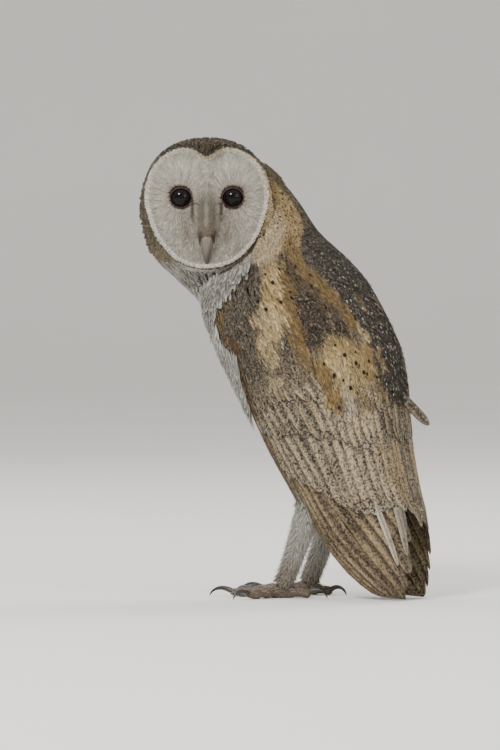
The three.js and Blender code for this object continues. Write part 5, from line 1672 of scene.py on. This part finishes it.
def build_stage(stage):
    """A round pale floor whose edge sweeps up all round the bird, soft lights and the camera. The floor's profile is
    level, then a quarter circle, then upright, turned about the vertical."""
    azimuth, flat, bend, rise = stage.azimuth, 5600.0, 1400.0, 5200.0
    t = np.linspace(0, math.pi / 2, 20)[1:]
    run = np.concatenate([np.linspace(0.001, 1, 14) ** 2 * flat, flat + bend * np.sin(t), [flat + bend]])
    up = np.concatenate([np.zeros(14), bend * (1 - np.cos(t)), [rise]])
    turn = np.linspace(0, 2 * math.pi, 96, endpoint=False)
    points = np.stack([run[:, None] * np.cos(turn), run[:, None] * np.sin(turn), up[:, None] + 0 * turn], -1)
    rows, columns = points.shape[:2]
    points = np.concatenate([points.reshape(-1, 3), [[0.0, 0.0, 0.0]]])
    c = np.arange(columns)
    centre = np.stack([np.full(columns, rows * columns), c, (c + 1) % columns], 1)
    floor = make_piece("floor", points, [sheet_faces(rows, columns, True)[:, ::-1], centre], material=plain_material("pale_floor", list(stage.floor_colour), 0.7))

    world = bpy.data.worlds.new("soft_sky")
    world.use_nodes = True
    world.node_tree.nodes["Background"].inputs[0].default_value = (*stage.sky_colour, 1.0)
    world.node_tree.nodes["Background"].inputs[1].default_value = stage.sky_strength
    bpy.context.scene.world = world

    centre = np.array((0.0, 0.0, 0.16))
    back = np.array((math.sin(azimuth) * math.cos(stage.elevation), -math.cos(azimuth) * math.cos(stage.elevation), math.sin(stage.elevation)))
    side = np.array((math.cos(azimuth), math.sin(azimuth), 0.0))
    for name, way, size, power in (
        ("key", back * 1.5 + side * -0.75 + np.array((0, 0, 1.35)), 0.55, stage.key_power),
        ("fill", back * 1.4 + side * 1.4 + np.array((0, 0, 0.7)), 1.2, stage.key_power * 0.28),
        ("rear", back * -1.2 + side * 0.9 + np.array((0, 0, 1.6)), 0.9, stage.key_power * 0.5),
        ("rear_left", back * -1.1 + side * -1.2 + np.array((0, 0, 1.1)), 0.9, stage.key_power * 0.3),
    ):
        lamp = bpy.data.lights.new(name, "AREA")
        lamp.shape, lamp.size, lamp.energy = "DISK", size, power
        holder = bpy.data.objects.new(name, lamp)
        bpy.context.scene.collection.objects.link(holder)
        spot = centre + way
        look = centre - spot
        holder.location = spot
        holder.rotation_mode = "QUATERNION"
        holder.rotation_quaternion = mathutils.Vector(look).to_track_quat("-Z", "Y")

    target = side * stage.aim_side + np.array((0, 0, stage.aim_height))
    camera = bpy.data.cameras.new("camera")
    camera.sensor_width = 36.0
    camera.lens = 36.0 * stage.distance / stage.frame_height
    camera.clip_start, camera.clip_end = 0.1, 50.0
    view = bpy.data.objects.new("camera", camera)
    bpy.context.scene.collection.objects.link(view)
    view.location = target + back * stage.distance
    view.rotation_mode = "QUATERNION"
    view.rotation_quaternion = mathutils.Vector(-back).to_track_quat("-Z", "Y")
    bpy.context.scene.camera = view


# ---------------------------------------------------------------- add-on


def colour_property(name, description, colour):
    return FloatVectorProperty(name=name, description=description, default=[float(c) for c in colour], subtype="COLOR", size=3, min=0, max=1)


class OwlCoat(PropertyGroup):
    depth: FloatProperty(name="Coat depth", description="From the tips of the body's feathers in to the skin", default=0.0032, min=0.0015, max=0.006, unit="LENGTH")
    density: FloatProperty(name="Density", description="Number of small feathers, as a share of the full coat", default=1.0, min=0.2, max=1.0, subtype="FACTOR")


class OwlColours(PropertyGroup):
    white: colour_property("White", "Breast, belly and legs", paint.white)
    gold: colour_property("Gold", "Golden patches of the mantle and wings", paint.gold)
    smoke: colour_property("Smoke", "Dark grey veil of the mantle and wings", paint.smoke)
    buff: colour_property("Buff", "Large feathers of the wings and tail", paint.buff)
    face: colour_property("Face", "Facial disc", paint.face)
    dark: colour_property("Dark", "Flecks, spots and shafts", paint.dark)


class OwlStage(PropertyGroup):
    azimuth: FloatProperty(name="Azimuth", description="Camera's turn about the bird, from straight ahead of its body", default=math.radians(115), subtype="ANGLE")
    elevation: FloatProperty(name="Elevation", description="Camera's height angle", default=math.radians(1.5), subtype="ANGLE")
    distance: FloatProperty(name="Distance", description="Camera to the bird", default=4.0, min=1, max=12, unit="LENGTH")
    frame_height: FloatProperty(name="Frame height", description="Height that the picture takes in at the bird", default=0.5175, min=0.1, max=3, unit="LENGTH")
    aim_side: FloatProperty(name="Aim sideways", description="Middle of the picture, sideways from the origin", default=-0.0275, unit="LENGTH")
    aim_height: FloatProperty(name="Aim height", description="Middle of the picture, above the floor", default=0.1525, unit="LENGTH")
    floor_colour: colour_property("Floor", "Floor and backdrop", hue(232, 230, 226))
    sky_colour: colour_property("Sky", "Soft light from all round", (1.0, 1.0, 1.0))
    sky_strength: FloatProperty(name="Sky strength", description="Strength of the soft light", default=1.0, min=0, max=5)
    key_power: FloatProperty(name="Key light", description="Power of the main lamp", default=40.0, min=0, max=500, unit="POWER")


class OwlOperator:
    """What the build operators share: they read the settings first, and finish or raise an error."""

    bl_options = {"REGISTER", "UNDO"}

    def execute(self, context):
        paint.read(context.scene.owl_coat, context.scene.owl_colours)
        self.build(context)
        return {"FINISHED"}


class OWL_OT_skin(OwlOperator, Operator):
    """Build the one skin under the coat"""

    bl_idname = "owl.skin"
    bl_label = "Skin"

    def build(self, context):
        build_skin(context.scene.owl_coat.depth / MM)


class OWL_OT_eyes(OwlOperator, Operator):
    """Build the eyeballs and lids"""

    bl_idname = "owl.eyes"
    bl_label = "Eyes and lids"

    def build(self, context):
        build_eyes()


class OWL_OT_bill(OwlOperator, Operator):
    """Build the two halves of the bill"""

    bl_idname = "owl.bill"
    bl_label = "Bill"

    def build(self, context):
        build_bill()


class OWL_OT_feet(OwlOperator, Operator):
    """Build the toes, their bristles and the claws"""

    bl_idname = "owl.feet"
    bl_label = "Feet and claws"

    def build(self, context):
        build_feet()


class OWL_OT_face_coat(OwlOperator, Operator):
    """Lay the filaments of the facial disc and its rim"""

    bl_idname = "owl.face_coat"
    bl_label = "Facial disc"

    def build(self, context):
        build_disc()
        build_bristles()
        build_rim()


class OWL_OT_head_coat(OwlOperator, Operator):
    """Lay the feathers of the crown and the sides of the head"""

    bl_idname = "owl.head_coat"
    bl_label = "Crown"

    def build(self, context):
        build_head()


class OWL_OT_cloak(OwlOperator, Operator):
    """Lay the feathers of the neck, nape, mantle and scapulars"""

    bl_idname = "owl.cloak"
    bl_label = "Neck and mantle"

    def build(self, context):
        build_cloak()


class OWL_OT_breast(OwlOperator, Operator):
    """Lay the feathers of the throat, breast and belly"""

    bl_idname = "owl.breast"
    bl_label = "Breast and belly"

    def build(self, context):
        build_nape()
        build_breast()


class OWL_OT_coverts(OwlOperator, Operator):
    """Lay the small coverts of both wings"""

    bl_idname = "owl.coverts"
    bl_label = "Wing coverts"

    def build(self, context):
        build_coverts()


class OWL_OT_flight(OwlOperator, Operator):
    """Lay the large feathers of both wings"""

    bl_idname = "owl.flight"
    bl_label = "Flight feathers"

    def build(self, context):
        build_flight()


class OWL_OT_drops(OwlOperator, Operator):
    """Lay the dark and pale drops of the mantle, wings and breast"""

    bl_idname = "owl.drops"
    bl_label = "Drop spots"

    def build(self, context):
        build_drops()


class OWL_OT_tail(OwlOperator, Operator):
    """Lay the tail feathers and the loose feather of the back"""

    bl_idname = "owl.tail"
    bl_label = "Tail"

    def build(self, context):
        build_tail()


class OWL_OT_leg_coat(OwlOperator, Operator):
    """Lay the bristly feathers of the thighs and legs"""

    bl_idname = "owl.leg_coat"
    bl_label = "Leg feathers"

    def build(self, context):
        build_leg_coat()


class OWL_OT_stage(OwlOperator, Operator):
    """Set the floor, backdrop, lights and camera"""

    bl_idname = "owl.stage"
    bl_label = "Stage"

    def build(self, context):
        build_stage(context.scene.owl_stage)


OPERATORS = (
    OWL_OT_skin,
    OWL_OT_eyes,
    OWL_OT_bill,
    OWL_OT_feet,
    OWL_OT_face_coat,
    OWL_OT_head_coat,
    OWL_OT_cloak,
    OWL_OT_breast,
    OWL_OT_coverts,
    OWL_OT_flight,
    OWL_OT_drops,
    OWL_OT_tail,
    OWL_OT_leg_coat,
    OWL_OT_stage,
)


class OWL_PT_panel(Panel):
    """Lists the settings and the pieces"""

    bl_idname = "OWL_PT_panel"
    bl_label = "Barn owl"
    bl_space_type = "VIEW_3D"
    bl_region_type = "UI"
    bl_category = "Barn owl"

    def draw(self, context):
        for group in (context.scene.owl_coat, context.scene.owl_colours, context.scene.owl_stage):
            box = self.layout.box()
            for name in group.__annotations__:
                box.prop(group, name)
        for operator in OPERATORS:
            self.layout.operator(operator.bl_idname)


GROUPS = {"owl_coat": OwlCoat, "owl_colours": OwlColours, "owl_stage": OwlStage}
CLASSES = (*GROUPS.values(), *OPERATORS, OWL_PT_panel)


def register():
    for cls in CLASSES:
        bpy.utils.register_class(cls)
    for name, group in GROUPS.items():
        setattr(bpy.types.Scene, name, PointerProperty(type=group))


def unregister():
    for name in GROUPS:
        delattr(bpy.types.Scene, name)
    for cls in reversed(CLASSES):
        bpy.utils.unregister_class(cls)


def main():
    register()
    for operator in OPERATORS:
        group, name = operator.bl_idname.split(".")
        getattr(getattr(bpy.ops, group), name)()


if __name__ == "__main__":
    main()
